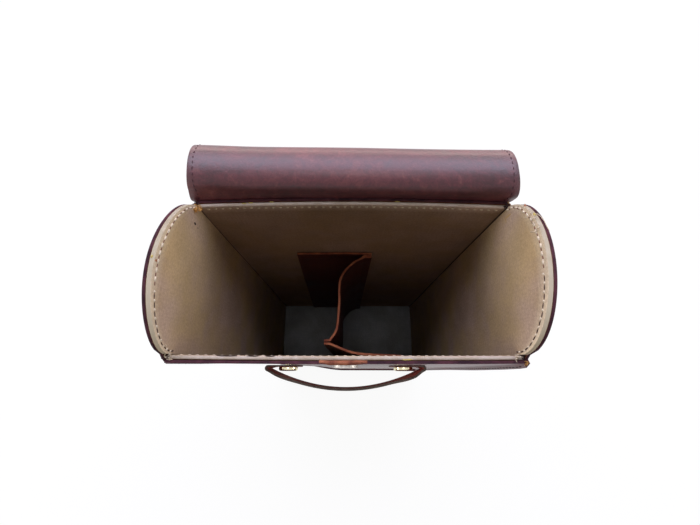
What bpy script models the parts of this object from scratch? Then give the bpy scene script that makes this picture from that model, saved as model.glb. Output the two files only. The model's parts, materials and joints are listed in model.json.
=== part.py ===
"""Two-bottle wine bag in leather, open, with its lid thrown back over the rear wall.

The body is a tall box of leather panels over canvas-covered boards. The side panels rise above
the rim as low domes, and every corner is sewn with its raw edges turned out. The lid is bending
leather: a chain of flat strips that starts on a band sewn to the back panel, and unrolls from
the hill behind the bag to an arch over both domes. Inside, a Z-shaped leather divider parts the
two bottles. A strap handle loops out from two brass studs on the front, under a magnetic snap.

Origin: centre of the underside. +X right, +Y to the back (the lid's side), +Z up. Metres.
"""

import math

import bmesh
import bpy
from mathutils import Vector

MM = 0.001

# Driving dimensions: the room inside, and the build-up of a wall
INNER_WIDTH = 190 * MM
INNER_DEPTH = 88 * MM
INNER_HEIGHT = 335.3 * MM
LEATHER = 1.6 * MM
BASE_LEATHER = 2.0 * MM
BOARD = 2.4 * MM
GAP = 0.3 * MM
CROWN_HEIGHT = 31 * MM
CROWN_STEPS = 22
SEAM_FLANGE = 3.0 * MM
FOOT_LENGTH = 3.0 * MM
FOOT_END_CLEARANCE = 1.6 * MM
BASE_CORNER_RADIUS = 6 * MM

# Walls worked out from them
WALL = BOARD + GAP + LEATHER
OUTER_X = INNER_WIDTH / 2 + WALL
OUTER_Y = INNER_DEPTH / 2 + WALL
WALL_FOOT_Z = BASE_LEATHER + GAP
FLOOR_Z = WALL_FOOT_Z + BOARD
RIM_Z = FLOOR_Z + INNER_HEIGHT

# Divider: leather, sewn to itself at two pinched corners
DIVIDER_LEATHER = 1.8 * MM
DIVIDER_DROP = 85 * MM
DIVIDER_SEAM_X = 18 * MM
BACK_FLANGE_TOP_X = -45 * MM
BACK_FLANGE_FOOT_X = -52 * MM
DIVIDER_CORNER = 6 * MM
WEB_BACK_Y = 40.2 * MM
WEB_FRONT_Y = -29.6 * MM

# Lid: a band on the back panel, then five short strips over the hill, four long ones and a flap
LID_WIDTH = 195 * MM
LID_THICKNESS = 3.2 * MM
LID_BAND_WIDTH = 191 * MM
LID_BAND_LENGTH = 18 * MM
LID_STAND = 1.5 * MM
LID_CREASE_ANGLE = math.radians(27)
HILL_LENGTHS = (7.5 * MM, 8 * MM, 10 * MM, 11 * MM, 12 * MM)
HILL_TURNS_DEG = (-4, 50, 36, 26, 37, 35)
DOME_STRIPS = 4
FLAP_LENGTH = 39.5 * MM
FLAP_CORNER_RADIUS = 12 * MM
ARCH_CLEARANCE = 1.1 * MM
FLAP_STANDOFF = 4.0 * MM

# Magnetic snap: socket on the front panel, stud on the flap
SNAP_DROP = 20 * MM
SNAP_RADIUS = 7.4 * MM
SOCKET_THICKNESS = 2.0 * MM
SOCKET_WELL_RADIUS = 4.6 * MM
SOCKET_WELL_DEPTH = 1.3 * MM
STUD_FLANGE = 1.0 * MM
STUD_NIB_RADIUS = 3.9 * MM
STUD_NIB_LENGTH = 0.9 * MM
PRONG_SPACING = 6 * MM
PRONG_WIDTH = 3.0 * MM
PRONG_THICKNESS = 0.6 * MM
SNAP_WASHER = 0.4 * MM
SNAP_WASHER_RADIUS = 6.5 * MM
SNAP_PATCH_WIDTH = 26 * MM
SNAP_PATCH_LENGTH = 36 * MM
SNAP_PATCH_LEATHER = 0.8 * MM

# Handle: a strap whose ends fold under two capped studs
HANDLE_DROP = 56 * MM
STRAP_WIDTH = 18 * MM
STRAP_LEATHER = 1.8 * MM
STUD_SPACING = 79 * MM
HANDLE_FOLD_X = 54 * MM
HANDLE_ROOT_X = 44.3 * MM
HANDLE_TAB_END_X = 30 * MM
HANDLE_REACH = 15.4 * MM
HANDLE_STEPS = 24
HANDLE_HINGE_Y = -OUTER_Y - 2.6 * MM
STUD_HEAD_RADIUS = 6.5 * MM
STUD_HEAD_HEIGHT = 2.2 * MM
STUD_POST_RADIUS = 1.7 * MM
STUD_HOLE_RADIUS = 2.1 * MM
STUD_BURR_RADIUS = 4.5 * MM
STUD_BURR = 0.8 * MM
ROUND_SEGMENTS = 32


def clear_scene():
    """Remove every object of the open scene."""
    for obj in list(bpy.data.objects):
        bpy.data.objects.remove(obj, do_unlink=True)


def make_material(name, colour, roughness, metallic=0.0):
    """A plain Principled material with the piece's own colour."""
    material = bpy.data.materials.new(name)
    material.use_nodes = True
    shader = material.node_tree.nodes["Principled BSDF"]
    shader.inputs["Base Color"].default_value = (*colour, 1.0)
    shader.inputs["Roughness"].default_value = roughness
    shader.inputs["Metallic"].default_value = metallic
    return material


def burgundy_leather(name):
    return make_material(name + "_leather", (0.085, 0.030, 0.035), 0.38)


def divider_leather(name):
    return make_material(name + "_leather", (0.075, 0.018, 0.014), 0.55)


def canvas(name):
    return make_material(name + "_canvas", (0.40, 0.31, 0.22), 0.90)


def brass(name):
    return make_material(name + "_brass", (0.78, 0.62, 0.28), 0.22, 1.0)


def nickel(name):
    return make_material(name + "_nickel", (0.62, 0.60, 0.58), 0.30, 1.0)


def add_object(name, bm, material, parent=None, location=(0, 0, 0), tilt=0.0):
    """Turn a bmesh into a named object, tilted about X, under an optional parent."""
    bmesh.ops.recalc_face_normals(bm, faces=bm.faces)
    mesh = bpy.data.meshes.new(name)
    bm.to_mesh(mesh)
    bm.free()
    mesh.materials.append(material)
    obj = bpy.data.objects.new(name, mesh)
    bpy.context.scene.collection.objects.link(obj)
    obj.parent = parent
    obj.location = location
    obj.rotation_euler = (tilt, 0, 0)
    return obj


def smooth(obj, angle_deg=35):
    """Shade a round piece smooth, with its sharp edges kept."""
    obj.data.shade_smooth()
    obj.data.set_sharp_from_angle(angle=math.radians(angle_deg))


def thicken(obj, thickness):
    """Give a one-face-thick sheet its leather thickness, half to each side."""
    modifier = obj.modifiers.new("leather_thickness", "SOLIDIFY")
    modifier.thickness = thickness
    modifier.offset = 0
    modifier.use_even_offset = True
    modifier.use_quality_normals = True


def cut(obj, cutter):
    """Take a hidden cutter out of a piece."""
    cutter.hide_render = True
    cutter.display_type = "WIRE"
    modifier = obj.modifiers.new("cut_" + cutter.name, "BOOLEAN")
    modifier.operation = "DIFFERENCE"
    modifier.solver = "EXACT"
    modifier.object = cutter


def box_mesh(low, high):
    """A box between two corners."""
    bm = bmesh.new()
    bmesh.ops.create_cube(bm, size=1)
    low, high = Vector(low), Vector(high)
    bmesh.ops.scale(bm, vec=high - low, verts=bm.verts)
    bmesh.ops.translate(bm, vec=(low + high) / 2, verts=bm.verts)
    return bm


def outline_mesh(points, direction):
    """A flat outline swept along a direction into a solid."""
    bm = bmesh.new()
    face = bm.faces.new([bm.verts.new(point) for point in points])
    swept = bmesh.ops.extrude_face_region(bm, geom=[face])["geom"]
    moved = [item for item in swept if isinstance(item, bmesh.types.BMVert)]
    bmesh.ops.translate(bm, vec=direction, verts=moved)
    return bm


def turned_mesh(profile, axis_point, direction):
    """A closed (radius, height) profile turned round an axis that lies along Y."""
    bm = bmesh.new()
    side = Vector((1, 0, 0))
    up = Vector(direction)
    verts = [bm.verts.new(Vector(axis_point) + side * r + up * h) for r, h in profile]
    edges = [bm.edges.new(pair) for pair in zip(verts, verts[1:])]
    bmesh.ops.spin(
        bm,
        geom=verts + edges,
        cent=axis_point,
        axis=direction,
        angle=math.tau,
        steps=ROUND_SEGMENTS,
        use_merge=True,
    )
    bmesh.ops.remove_doubles(bm, verts=bm.verts, dist=1e-6)
    return bm


def crown_z(y):
    """Height of a side panel's top edge: a half ellipse over the inside depth, on the rim."""
    reach = INNER_DEPTH / 2
    if abs(y) >= reach:
        return RIM_Z
    return RIM_Z + CROWN_HEIGHT * math.sqrt(1 - (y / reach) ** 2)


def crown_stations():
    """Y stations across the depth, closer together where the dome is steep."""
    reach = INNER_DEPTH / 2
    return [-reach * math.cos(math.pi * i / CROWN_STEPS) for i in range(CROWN_STEPS + 1)]


def smooth_path(points, steps):
    """A Catmull-Rom curve through plan points, with its ends kept."""
    knots = [Vector(p) for p in points]
    knots = [2 * knots[0] - knots[1], *knots, 2 * knots[-1] - knots[-2]]
    curve = []
    for a, b, c, d in zip(knots, knots[1:], knots[2:], knots[3:]):
        for i in range(steps):
            t = i / steps
            curve.append(
                0.5
                * (2 * b + (c - a) * t + (2 * a - 5 * b + 4 * c - d) * t**2
                   + (3 * b - a - 3 * c + d) * t**3)
            )
    return [*curve, knots[-2]]


def sheet_mesh(path, low, high):
    """An upright sheet over a plan path. low and high give the height at each plan point."""
    bm = bmesh.new()
    feet = [bm.verts.new((p[0], p[1], low(p))) for p in path]
    runs = [bm.edges.new(pair) for pair in zip(feet, feet[1:])]
    raised = bmesh.ops.extrude_edge_only(bm, edges=runs)["geom"]
    for vert in raised:
        if isinstance(vert, bmesh.types.BMVert):
            vert.co.z = high(vert.co)
    return bm


def turn_out_foot(bm, direction, inside):
    """Turn the lower edge of a sheet outwards, where inside(x, y) holds for both of its ends."""
    lowest = min(vert.co.z for vert in bm.verts)
    edges = [
        edge
        for edge in bm.edges
        if all(abs(v.co.z - lowest) < 1e-6 and inside(v.co) for v in edge.verts)
    ]
    raised = bmesh.ops.extrude_edge_only(bm, edges=edges)["geom"]
    moved = [item for item in raised if isinstance(item, bmesh.types.BMVert)]
    bmesh.ops.translate(bm, vec=Vector(direction) * FOOT_LENGTH, verts=moved)


def corner_points(along_front):
    """Where one panel turns into the corner seam and where the seam ends, at +X and -Y.

    Both panels turn 45 degrees out of the corner and lie face to face on its diagonal.
    """
    corner = Vector((OUTER_X - LEATHER / 2, -OUTER_Y + LEATHER / 2))
    diagonal = Vector((1, -1)).normalized()
    aside = Vector((-1, -1)).normalized() * (LEATHER + GAP) / 2
    if not along_front:
        aside = -aside
    turn = corner + aside - diagonal * aside.length
    return turn, corner + aside + diagonal * SEAM_FLANGE


def front_or_back_panel(name, side):
    """Leather wall across X with its ends turned out. side is -1 at the front, +1 at the back."""
    turn, tip = corner_points(along_front=True)
    foot_x = turn.x - FOOT_END_CLEARANCE
    half = [(foot_x, turn.y), (turn.x, turn.y), (tip.x, tip.y)]
    path = [(-x, y) for x, y in reversed(half)] + half
    path = [(x, y * -side) for x, y in path]
    foot_z = WALL_FOOT_Z + LEATHER / 2
    bm = sheet_mesh(path, lambda p: foot_z, lambda p: RIM_Z)
    turn_out_foot(bm, (0, side, 0), lambda co: abs(co.x) < foot_x + GAP)
    panel = add_object(name, bm, burgundy_leather(name))
    thicken(panel, LEATHER)
    return panel


def side_panel(name, side):
    """Domed leather wall across Y with its ends turned out. side is -1 at the left, +1 right."""
    turn, tip = corner_points(along_front=False)
    foot_y = turn.y + FOOT_END_CLEARANCE
    seam = [(tip.x, tip.y), (turn.x, turn.y)]
    stations = [(turn.x, y) for y in crown_stations()]
    path = [*seam, *stations, *((x, -y) for x, y in reversed(seam))]
    path = [(x * side, y) for x, y in path]
    foot_z = WALL_FOOT_Z + LEATHER / 2
    bm = sheet_mesh(path, lambda p: foot_z, lambda co: crown_z(co.y))
    turn_out_foot(bm, (side, 0, 0), lambda co: abs(co.y) < abs(foot_y) + GAP)
    panel = add_object(name, bm, burgundy_leather(name))
    thicken(panel, LEATHER)
    return panel


def base_panel():
    """Leather base that runs out under the turned feet of the walls, with round corners."""
    reach_x = OUTER_X + FOOT_LENGTH + GAP
    reach_y = OUTER_Y + FOOT_LENGTH + GAP
    bm = box_mesh((-reach_x, -reach_y, 0), (reach_x, reach_y, BASE_LEATHER))
    uprights = [e for e in bm.edges if abs(e.verts[0].co.z - e.verts[1].co.z) > GAP]
    bmesh.ops.bevel(
        bm, geom=uprights, offset=BASE_CORNER_RADIUS, segments=5, affect="EDGES", profile=0.5
    )
    return add_object("base_panel", bm, burgundy_leather("base_panel"))


def front_or_back_lining(name, side):
    """Canvas-covered board against a front or back panel, as wide as the room and side boards."""
    half = INNER_WIDTH / 2 + BOARD
    inner = INNER_DEPTH / 2
    low = (-half, min(side * inner, side * (inner + BOARD)), WALL_FOOT_Z)
    high = (half, max(side * inner, side * (inner + BOARD)), RIM_Z)
    return add_object(name, box_mesh(low, high), canvas(name))


def side_lining(name, side):
    """Domed canvas-covered board between the front and back boards."""
    inner_x = side * INNER_WIDTH / 2
    reach = INNER_DEPTH / 2 - GAP
    arc = [(inner_x, max(-reach, min(reach, y)), crown_z(y)) for y in crown_stations()]
    points = [(inner_x, -reach, WALL_FOOT_Z), *arc, (inner_x, reach, WALL_FOOT_Z)]
    bm = outline_mesh(points, (side * BOARD, 0, 0))
    return add_object(name, bm, canvas(name))


def base_lining():
    """Floor board between the four wall boards."""
    half_x = INNER_WIDTH / 2 - GAP
    half_y = INNER_DEPTH / 2 - GAP
    bm = box_mesh((-half_x, -half_y, WALL_FOOT_Z), (half_x, half_y, FLOOR_Z))
    return add_object("base_lining", bm, canvas("base_lining"))


def divider():
    """Three leather pieces in a Z, seen from above, pinched together at both of its corners."""
    low = FLOOR_Z + GAP
    high = RIM_Z - DIVIDER_DROP
    step = DIVIDER_LEATHER + GAP
    flange_y = WEB_BACK_Y + step
    flange_half = DIVIDER_LEATHER / 2
    flange = outline_mesh(
        [
            (BACK_FLANGE_FOOT_X, flange_y - flange_half, low),
            (DIVIDER_SEAM_X, flange_y - flange_half, low),
            (DIVIDER_SEAM_X, flange_y - flange_half, high),
            (BACK_FLANGE_TOP_X, flange_y - flange_half, high),
        ],
        (0, DIVIDER_LEATHER, 0),
    )
    add_object("divider_back_flange", flange, divider_leather("divider_back_flange"))

    web = [
        (DIVIDER_SEAM_X - DIVIDER_CORNER, WEB_BACK_Y),
        (1 * MM, 33.5 * MM),
        (-7.4 * MM, 20.5 * MM),
        (-7.6 * MM, 0),
        (-8.6 * MM, -20 * MM),
        (-13.5 * MM, WEB_FRONT_Y + 0.5 * MM),
    ]
    front = [
        (-13.5 * MM, WEB_FRONT_Y - step),
        (-4 * MM, -35.2 * MM),
        (6 * MM, -38.4 * MM),
        (20 * MM, -39.9 * MM),
        (43 * MM, -40.4 * MM),
    ]
    tail_x = -DIVIDER_SEAM_X
    web_path = [(DIVIDER_SEAM_X, WEB_BACK_Y), *smooth_path(web, 5), (tail_x, WEB_FRONT_Y)]
    front_path = [(tail_x, WEB_FRONT_Y - step), *smooth_path(front, 5)]
    for name, path in (("divider_web", web_path), ("divider_front_flange", front_path)):
        bm = sheet_mesh(path, lambda p: low, lambda p: high)
        thicken(add_object(name, bm, divider_leather(name)), DIVIDER_LEATHER)


def chord_on_arch(start, chord, half_width, height):
    """The angle on the closed lid's half ellipse that lies one chord on from a start angle."""
    def point(angle):
        return Vector((half_width * math.cos(angle), height * math.sin(angle)))

    low, high = start, start + math.pi
    for _ in range(60):
        middle = (low + high) / 2
        if (point(middle) - point(start)).length < chord:
            low = middle
        else:
            high = middle
    return (low + high) / 2


def lid_strip_lengths():
    """Joint-to-joint lengths: those of the hill, then equal ones that close the arch."""
    back_y = OUTER_Y + GAP + LID_THICKNESS / 2
    front_y = OUTER_Y + FLAP_STANDOFF + LID_THICKNESS / 2
    half_width = (back_y + front_y) / 2
    height = CROWN_HEIGHT + LID_THICKNESS / 2 + ARCH_CLEARANCE - LID_STAND
    hill_end = 0.0
    for length in HILL_LENGTHS:
        hill_end = chord_on_arch(hill_end, length, half_width, height)
    low, high = 0.0, half_width
    for _ in range(60):
        dome = (low + high) / 2
        angle = hill_end
        for _ in range(DOME_STRIPS):
            angle = chord_on_arch(angle, dome, half_width, height)
        if angle < math.pi:
            low = dome
        else:
            high = dome
    return [*HILL_LENGTHS, *[dome] * DOME_STRIPS]


def lid_open_bends():
    """How far each joint turns the lid from the strip before it, when it lies thrown back.

    The leather first leans a little over the rim, then bends back over the hill and hangs.
    """
    hill = [-math.radians(turn) for turn in HILL_TURNS_DEG]
    return [*hill, *[0.0] * DOME_STRIPS]


def strip_mesh(length, width, creased_start=True, creased_end=True):
    """A strip along local +Z with its lining side at -Y. A creased end tapers to a ridge."""
    half = LID_THICKNESS / 2
    crease = half * math.tan(LID_CREASE_ANGLE)
    start = GAP / 2 if creased_start else 0
    end = length - GAP / 2 if creased_end else length
    if creased_end:
        points = [(-half, end - crease), (0, end), (half, end - crease)]
    else:
        points = [(-half, end), (half, end)]
    if creased_start:
        points += [(half, start + crease), (0, start), (-half, start + crease)]
    else:
        points += [(half, start), (-half, start)]
    return outline_mesh([(-width / 2, y, z) for y, z in points], (width, 0, 0))


def flap_mesh():
    """The lid's front edge: creased where it joins the last strip, its free corners round."""
    bm = strip_mesh(FLAP_LENGTH, LID_WIDTH, creased_end=False)
    far = FLAP_LENGTH - GAP
    corners = [
        e
        for e in bm.edges
        if all(v.co.z > far for v in e.verts) and abs(e.verts[0].co.x - e.verts[1].co.x) < GAP
    ]
    bmesh.ops.bevel(
        bm, geom=corners, offset=FLAP_CORNER_RADIUS, segments=6, affect="EDGES", profile=0.5
    )
    return bm


def lid():
    """Band on the back panel, then the strips, each one a child of the strip before it."""
    back_y = OUTER_Y + GAP + LID_THICKNESS / 2
    band = strip_mesh(LID_BAND_LENGTH + LID_STAND, LID_BAND_WIDTH, creased_start=False)
    before = add_object(
        "lid_back_band",
        band,
        burgundy_leather("lid_back_band"),
        location=(0, back_y, RIM_Z - LID_BAND_LENGTH),
    )
    reach = LID_BAND_LENGTH + LID_STAND
    for number, (length, bend) in enumerate(zip(lid_strip_lengths(), lid_open_bends()), 1):
        name = f"lid_strip_{number}"
        before = add_object(
            name,
            strip_mesh(length, LID_WIDTH),
            burgundy_leather(name),
            parent=before,
            location=(0, 0, reach),
            tilt=bend,
        )
        reach = length
    flap = add_object(
        "lid_flap",
        flap_mesh(),
        burgundy_leather("lid_flap"),
        parent=before,
        location=(0, 0, reach),
        tilt=lid_open_bends()[-1],
    )
    snap_stud(flap)


def snap_stud(flap):
    """Nickel stud on the lining side of the flap: a thin disc with a nib that enters the socket."""
    face = LID_THICKNESS / 2 + GAP
    profile = [
        (0, face),
        (SNAP_RADIUS - GAP, face),
        (SNAP_RADIUS, face + GAP),
        (SNAP_RADIUS - GAP, face + STUD_FLANGE),
        (STUD_NIB_RADIUS, face + STUD_FLANGE),
        (STUD_NIB_RADIUS - GAP, face + STUD_FLANGE + STUD_NIB_LENGTH),
        (0, face + STUD_FLANGE + STUD_NIB_LENGTH),
    ]
    bm = turned_mesh(profile, (0, 0, LID_STAND + SNAP_DROP), (0, -1, 0))
    stud = add_object("snap_stud", bm, nickel("snap_stud"), parent=flap)
    smooth(stud)


def prong_boxes(y_low, y_high, room):
    """The two flat prongs of the snap socket, or with some room the slits that they go through."""
    z = RIM_Z - SNAP_DROP
    for side in (-1, 1):
        x = side * PRONG_SPACING / 2
        half_x = PRONG_THICKNESS / 2 + room
        half_z = PRONG_WIDTH / 2 + room
        yield box_mesh((x - half_x, y_low, z - half_z), (x + half_x, y_high, z + half_z))


def snap_socket(front):
    """Nickel socket on the front panel, its two prongs through the leather, washer and patch."""
    z = RIM_Z - SNAP_DROP
    face = OUTER_Y + GAP
    profile = [
        (0, face),
        (SNAP_RADIUS, face),
        (SNAP_RADIUS, face + SOCKET_THICKNESS - GAP),
        (SNAP_RADIUS - GAP, face + SOCKET_THICKNESS),
        (SOCKET_WELL_RADIUS, face + SOCKET_THICKNESS),
        (SOCKET_WELL_RADIUS, face + SOCKET_THICKNESS - SOCKET_WELL_DEPTH),
        (0, face + SOCKET_THICKNESS - SOCKET_WELL_DEPTH),
    ]
    socket = add_object(
        "snap_socket", turned_mesh(profile, (0, 0, z), (0, -1, 0)), nickel("snap_socket")
    )
    smooth(socket)

    washer_far = OUTER_Y - LEATHER - GAP - SNAP_WASHER
    patch_far = washer_far - GAP - SNAP_PATCH_LEATHER
    washer_profile = [
        (0, washer_far),
        (SNAP_WASHER_RADIUS, washer_far),
        (SNAP_WASHER_RADIUS, washer_far + SNAP_WASHER),
        (0, washer_far + SNAP_WASHER),
    ]
    washer = add_object(
        "snap_washer", turned_mesh(washer_profile, (0, 0, z), (0, -1, 0)), nickel("snap_washer")
    )
    half = SNAP_PATCH_WIDTH / 2
    add_object(
        "snap_patch",
        box_mesh(
            (-half, -(patch_far + SNAP_PATCH_LEATHER), RIM_Z - SNAP_PATCH_LENGTH),
            (half, -patch_far, RIM_Z),
        ),
        divider_leather("snap_patch"),
    )
    prong_foot = face + GAP
    for number, bm in enumerate(prong_boxes(-prong_foot, -washer_far, 0)):
        prong = add_object(f"prong_{number}", bm, nickel("prong"))
        prong.hide_render = True
        prong.display_type = "WIRE"
        union = socket.modifiers.new("prong", "BOOLEAN")
        union.operation = "UNION"
        union.object = prong
    for piece in (front, washer):
        for number, bm in enumerate(prong_boxes(-face, -patch_far, GAP)):
            cut(piece, add_object(f"{piece.name}_slit_{number}", bm, nickel("slit")))


def snap_pocket(lining):
    """Room for the patch and the washer in the outer face of the front board."""
    half = SNAP_PATCH_WIDTH / 2 + GAP
    deep = OUTER_Y - LEATHER - 2 * GAP - SNAP_WASHER - GAP - SNAP_PATCH_LEATHER
    bm = box_mesh(
        (-half, -OUTER_Y, RIM_Z - SNAP_PATCH_LENGTH - GAP), (half, -(deep - GAP), RIM_Z + BOARD)
    )
    cut(lining, add_object("snap_pocket", bm, canvas("pocket")))


def handle_offset(x):
    """How far the handle's centreline stands off the front panel, at a distance x from middle."""
    tab = GAP + STRAP_LEATHER / 2
    start = tab + STRAP_LEATHER + GAP
    return start + (HANDLE_REACH - start) * (1 - (x / HANDLE_FOLD_X) ** 2)


def strap_piece(name, path):
    """A length of the strap, on edge, over a plan path."""
    z = RIM_Z - HANDLE_DROP
    bm = sheet_mesh(path, lambda p: z - STRAP_WIDTH / 2, lambda p: z + STRAP_WIDTH / 2)
    piece = add_object(name, bm, burgundy_leather(name))
    thicken(piece, STRAP_LEATHER)
    return piece


def handle():
    """The free loop of the strap, and its two ends that fold back under the studs."""
    half = HANDLE_ROOT_X - GAP
    xs = [half * (2 * i / HANDLE_STEPS - 1) for i in range(HANDLE_STEPS + 1)]
    z = RIM_Z - HANDLE_DROP
    hinge = Vector((0, HANDLE_HINGE_Y, z))
    loop_path = [(x, -OUTER_Y - handle_offset(x) - hinge.y) for x in xs]
    bm = sheet_mesh(loop_path, lambda p: -STRAP_WIDTH / 2, lambda p: STRAP_WIDTH / 2)
    loop = add_object("handle_strap", bm, burgundy_leather("handle_strap"), location=hinge)
    thicken(loop, STRAP_LEATHER)
    smooth(loop)

    tab = GAP + STRAP_LEATHER / 2
    fold = (handle_offset(HANDLE_FOLD_X) - tab) / 2
    for side, word in ((-1, "left"), (1, "right")):
        tab_path = [(HANDLE_TAB_END_X, tab), (HANDLE_FOLD_X, tab)]
        bend = [
            (
                HANDLE_FOLD_X + fold * math.sin(math.pi * i / 6),
                tab + fold - fold * math.cos(math.pi * i / 6),
            )
            for i in range(1, 6)
        ]
        runs = [
            HANDLE_FOLD_X - (HANDLE_FOLD_X - HANDLE_ROOT_X - GAP) * i / 4 for i in range(5)
        ]
        back = [(x, handle_offset(x)) for x in runs]
        path = [(side * x, -OUTER_Y - d) for x, d in [*tab_path, *bend, *back]]
        root = strap_piece(f"handle_end_{word}", path)
        smooth(root)
        handle_stud(word, side * STUD_SPACING / 2, z, root)


def handle_stud(word, x, z, root):
    """Brass stud: a domed cap outside, its post through the strap end, the panel and a burr."""
    cap_foot = OUTER_Y + GAP + STRAP_LEATHER + GAP
    burr_far = OUTER_Y - LEATHER - GAP - STUD_BURR
    cap = STUD_HEAD_HEIGHT
    profile = [
        (0, burr_far),
        (STUD_POST_RADIUS, burr_far),
        (STUD_POST_RADIUS, cap_foot),
        (STUD_HEAD_RADIUS - GAP, cap_foot),
        (STUD_HEAD_RADIUS, cap_foot + GAP),
        (STUD_HEAD_RADIUS, cap_foot + 0.55 * cap),
        (0.92 * STUD_HEAD_RADIUS, cap_foot + 0.80 * cap),
        (0.70 * STUD_HEAD_RADIUS, cap_foot + 0.95 * cap),
        (0, cap_foot + cap),
    ]
    bm = turned_mesh(profile, (x, 0, z), (0, -1, 0))
    stud = add_object(f"handle_stud_{word}", bm, brass("stud"))
    smooth(stud)

    ring = [
        (STUD_HOLE_RADIUS, burr_far),
        (STUD_BURR_RADIUS, burr_far),
        (STUD_BURR_RADIUS, burr_far + STUD_BURR),
        (STUD_HOLE_RADIUS, burr_far + STUD_BURR),
        (STUD_HOLE_RADIUS, burr_far),
    ]
    burr = add_object(
        f"handle_burr_{word}", turned_mesh(ring, (x, 0, z), (0, -1, 0)), brass("burr")
    )
    smooth(burr)

    front = bpy.data.objects["front_panel"]
    for piece, low, high in (
        (root, OUTER_Y + GAP / 2, cap_foot - GAP / 2),
        (front, OUTER_Y - LEATHER - GAP / 2, OUTER_Y + GAP / 2),
    ):
        drill = [(0, low), (STUD_HOLE_RADIUS, low), (STUD_HOLE_RADIUS, high), (0, high)]
        hole = turned_mesh(drill, (x, 0, z), (0, -1, 0))
        cut(piece, add_object(f"{piece.name}_hole_{word}", hole, brass("hole")))

    pocket_far = burr_far - GAP
    pocket_radius = STUD_BURR_RADIUS + GAP
    pocket = [(0, pocket_far), (pocket_radius, pocket_far), (pocket_radius, OUTER_Y), (0, OUTER_Y)]
    bm = turned_mesh(pocket, (x, 0, z), (0, -1, 0))
    lining = bpy.data.objects["front_lining"]
    cut(lining, add_object(f"burr_pocket_{word}", bm, brass("pocket")))


def main():
    clear_scene()
    front = front_or_back_panel("front_panel", -1)
    front_or_back_panel("back_panel", 1)
    side_panel("left_side_panel", -1)
    side_panel("right_side_panel", 1)
    base_panel()
    front_board = front_or_back_lining("front_lining", -1)
    front_or_back_lining("back_lining", 1)
    side_lining("left_side_lining", -1)
    side_lining("right_side_lining", 1)
    base_lining()
    divider()
    lid()
    snap_socket(front)
    snap_pocket(front_board)
    handle()


main()
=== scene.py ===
"""Looks of the two-bottle leather bag: finishes, soft forms, seams, light and camera.

The bag stands open with its lid thrown back. Every leather and canvas piece is remodelled here
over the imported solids, a little racked and bowed as the real one is, and then sewn.
"""

import json
import logging
import math
from bisect import bisect_right
from collections.abc import Callable, Iterable, Sequence
from dataclasses import dataclass, field
from enum import Enum
from random import Random

import bmesh
import bpy
from mathutils import Matrix, Vector, noise


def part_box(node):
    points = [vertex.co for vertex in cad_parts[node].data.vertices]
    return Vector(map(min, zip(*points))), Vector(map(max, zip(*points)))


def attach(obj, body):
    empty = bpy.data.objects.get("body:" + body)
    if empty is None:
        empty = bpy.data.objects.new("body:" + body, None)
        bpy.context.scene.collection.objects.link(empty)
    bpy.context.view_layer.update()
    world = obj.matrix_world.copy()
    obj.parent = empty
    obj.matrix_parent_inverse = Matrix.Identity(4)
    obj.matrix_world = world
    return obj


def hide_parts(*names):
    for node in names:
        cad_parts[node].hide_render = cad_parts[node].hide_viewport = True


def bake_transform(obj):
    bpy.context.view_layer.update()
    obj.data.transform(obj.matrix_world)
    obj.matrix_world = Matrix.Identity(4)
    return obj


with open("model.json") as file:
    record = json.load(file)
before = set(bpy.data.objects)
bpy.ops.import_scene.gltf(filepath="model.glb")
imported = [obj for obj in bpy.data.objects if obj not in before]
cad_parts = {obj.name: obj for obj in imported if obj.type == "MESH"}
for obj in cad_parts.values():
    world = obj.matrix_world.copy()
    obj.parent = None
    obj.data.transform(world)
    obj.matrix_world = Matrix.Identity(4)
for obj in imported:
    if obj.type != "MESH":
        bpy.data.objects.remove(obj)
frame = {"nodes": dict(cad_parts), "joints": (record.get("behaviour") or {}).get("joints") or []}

MM = 0.001
# Vector noise starts from the clock unless it is seeded, and every run has to be the same.
NOISE_SEED = 1
LOG = logging.getLogger("bottle_bag")
Colour = tuple[float, float, float]
Socket = bpy.types.NodeSocket


def smoothstep(value: float) -> float:
    """A value clamped to 0..1 and eased at both ends."""
    t = max(0.0, min(1.0, value))
    return t * t * (3 - 2 * t)


def eased(value: float, start: float, over: float) -> float:
    """A share that eases from 0 to 1 as a value goes on from a start over a stretch."""
    return smoothstep((value - start) / over)


def spaced(low: float, high: float, pitch: float) -> list[float]:
    """Even stations from low to high, about one pitch apart."""
    count = max(1, round(abs(high - low) / pitch))
    return [low + (high - low) * i / count for i in range(count + 1)]


class Side(Enum):
    """The four walls, each with its outward direction in plan."""

    FRONT = (0, -1)
    BACK = (0, 1)
    LEFT = (-1, 0)
    RIGHT = (1, 0)

    @property
    def outward(self) -> Vector:
        """The unit vector that points out of this wall."""
        return Vector((*self.value, 0))

    @property
    def across(self) -> bool:
        """Whether this wall runs along the bag's width."""
        return self.value[0] == 0

    @property
    def word(self) -> str:
        """What the solids call this wall."""
        return self.name.lower() + ("" if self.across else "_side")


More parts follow.
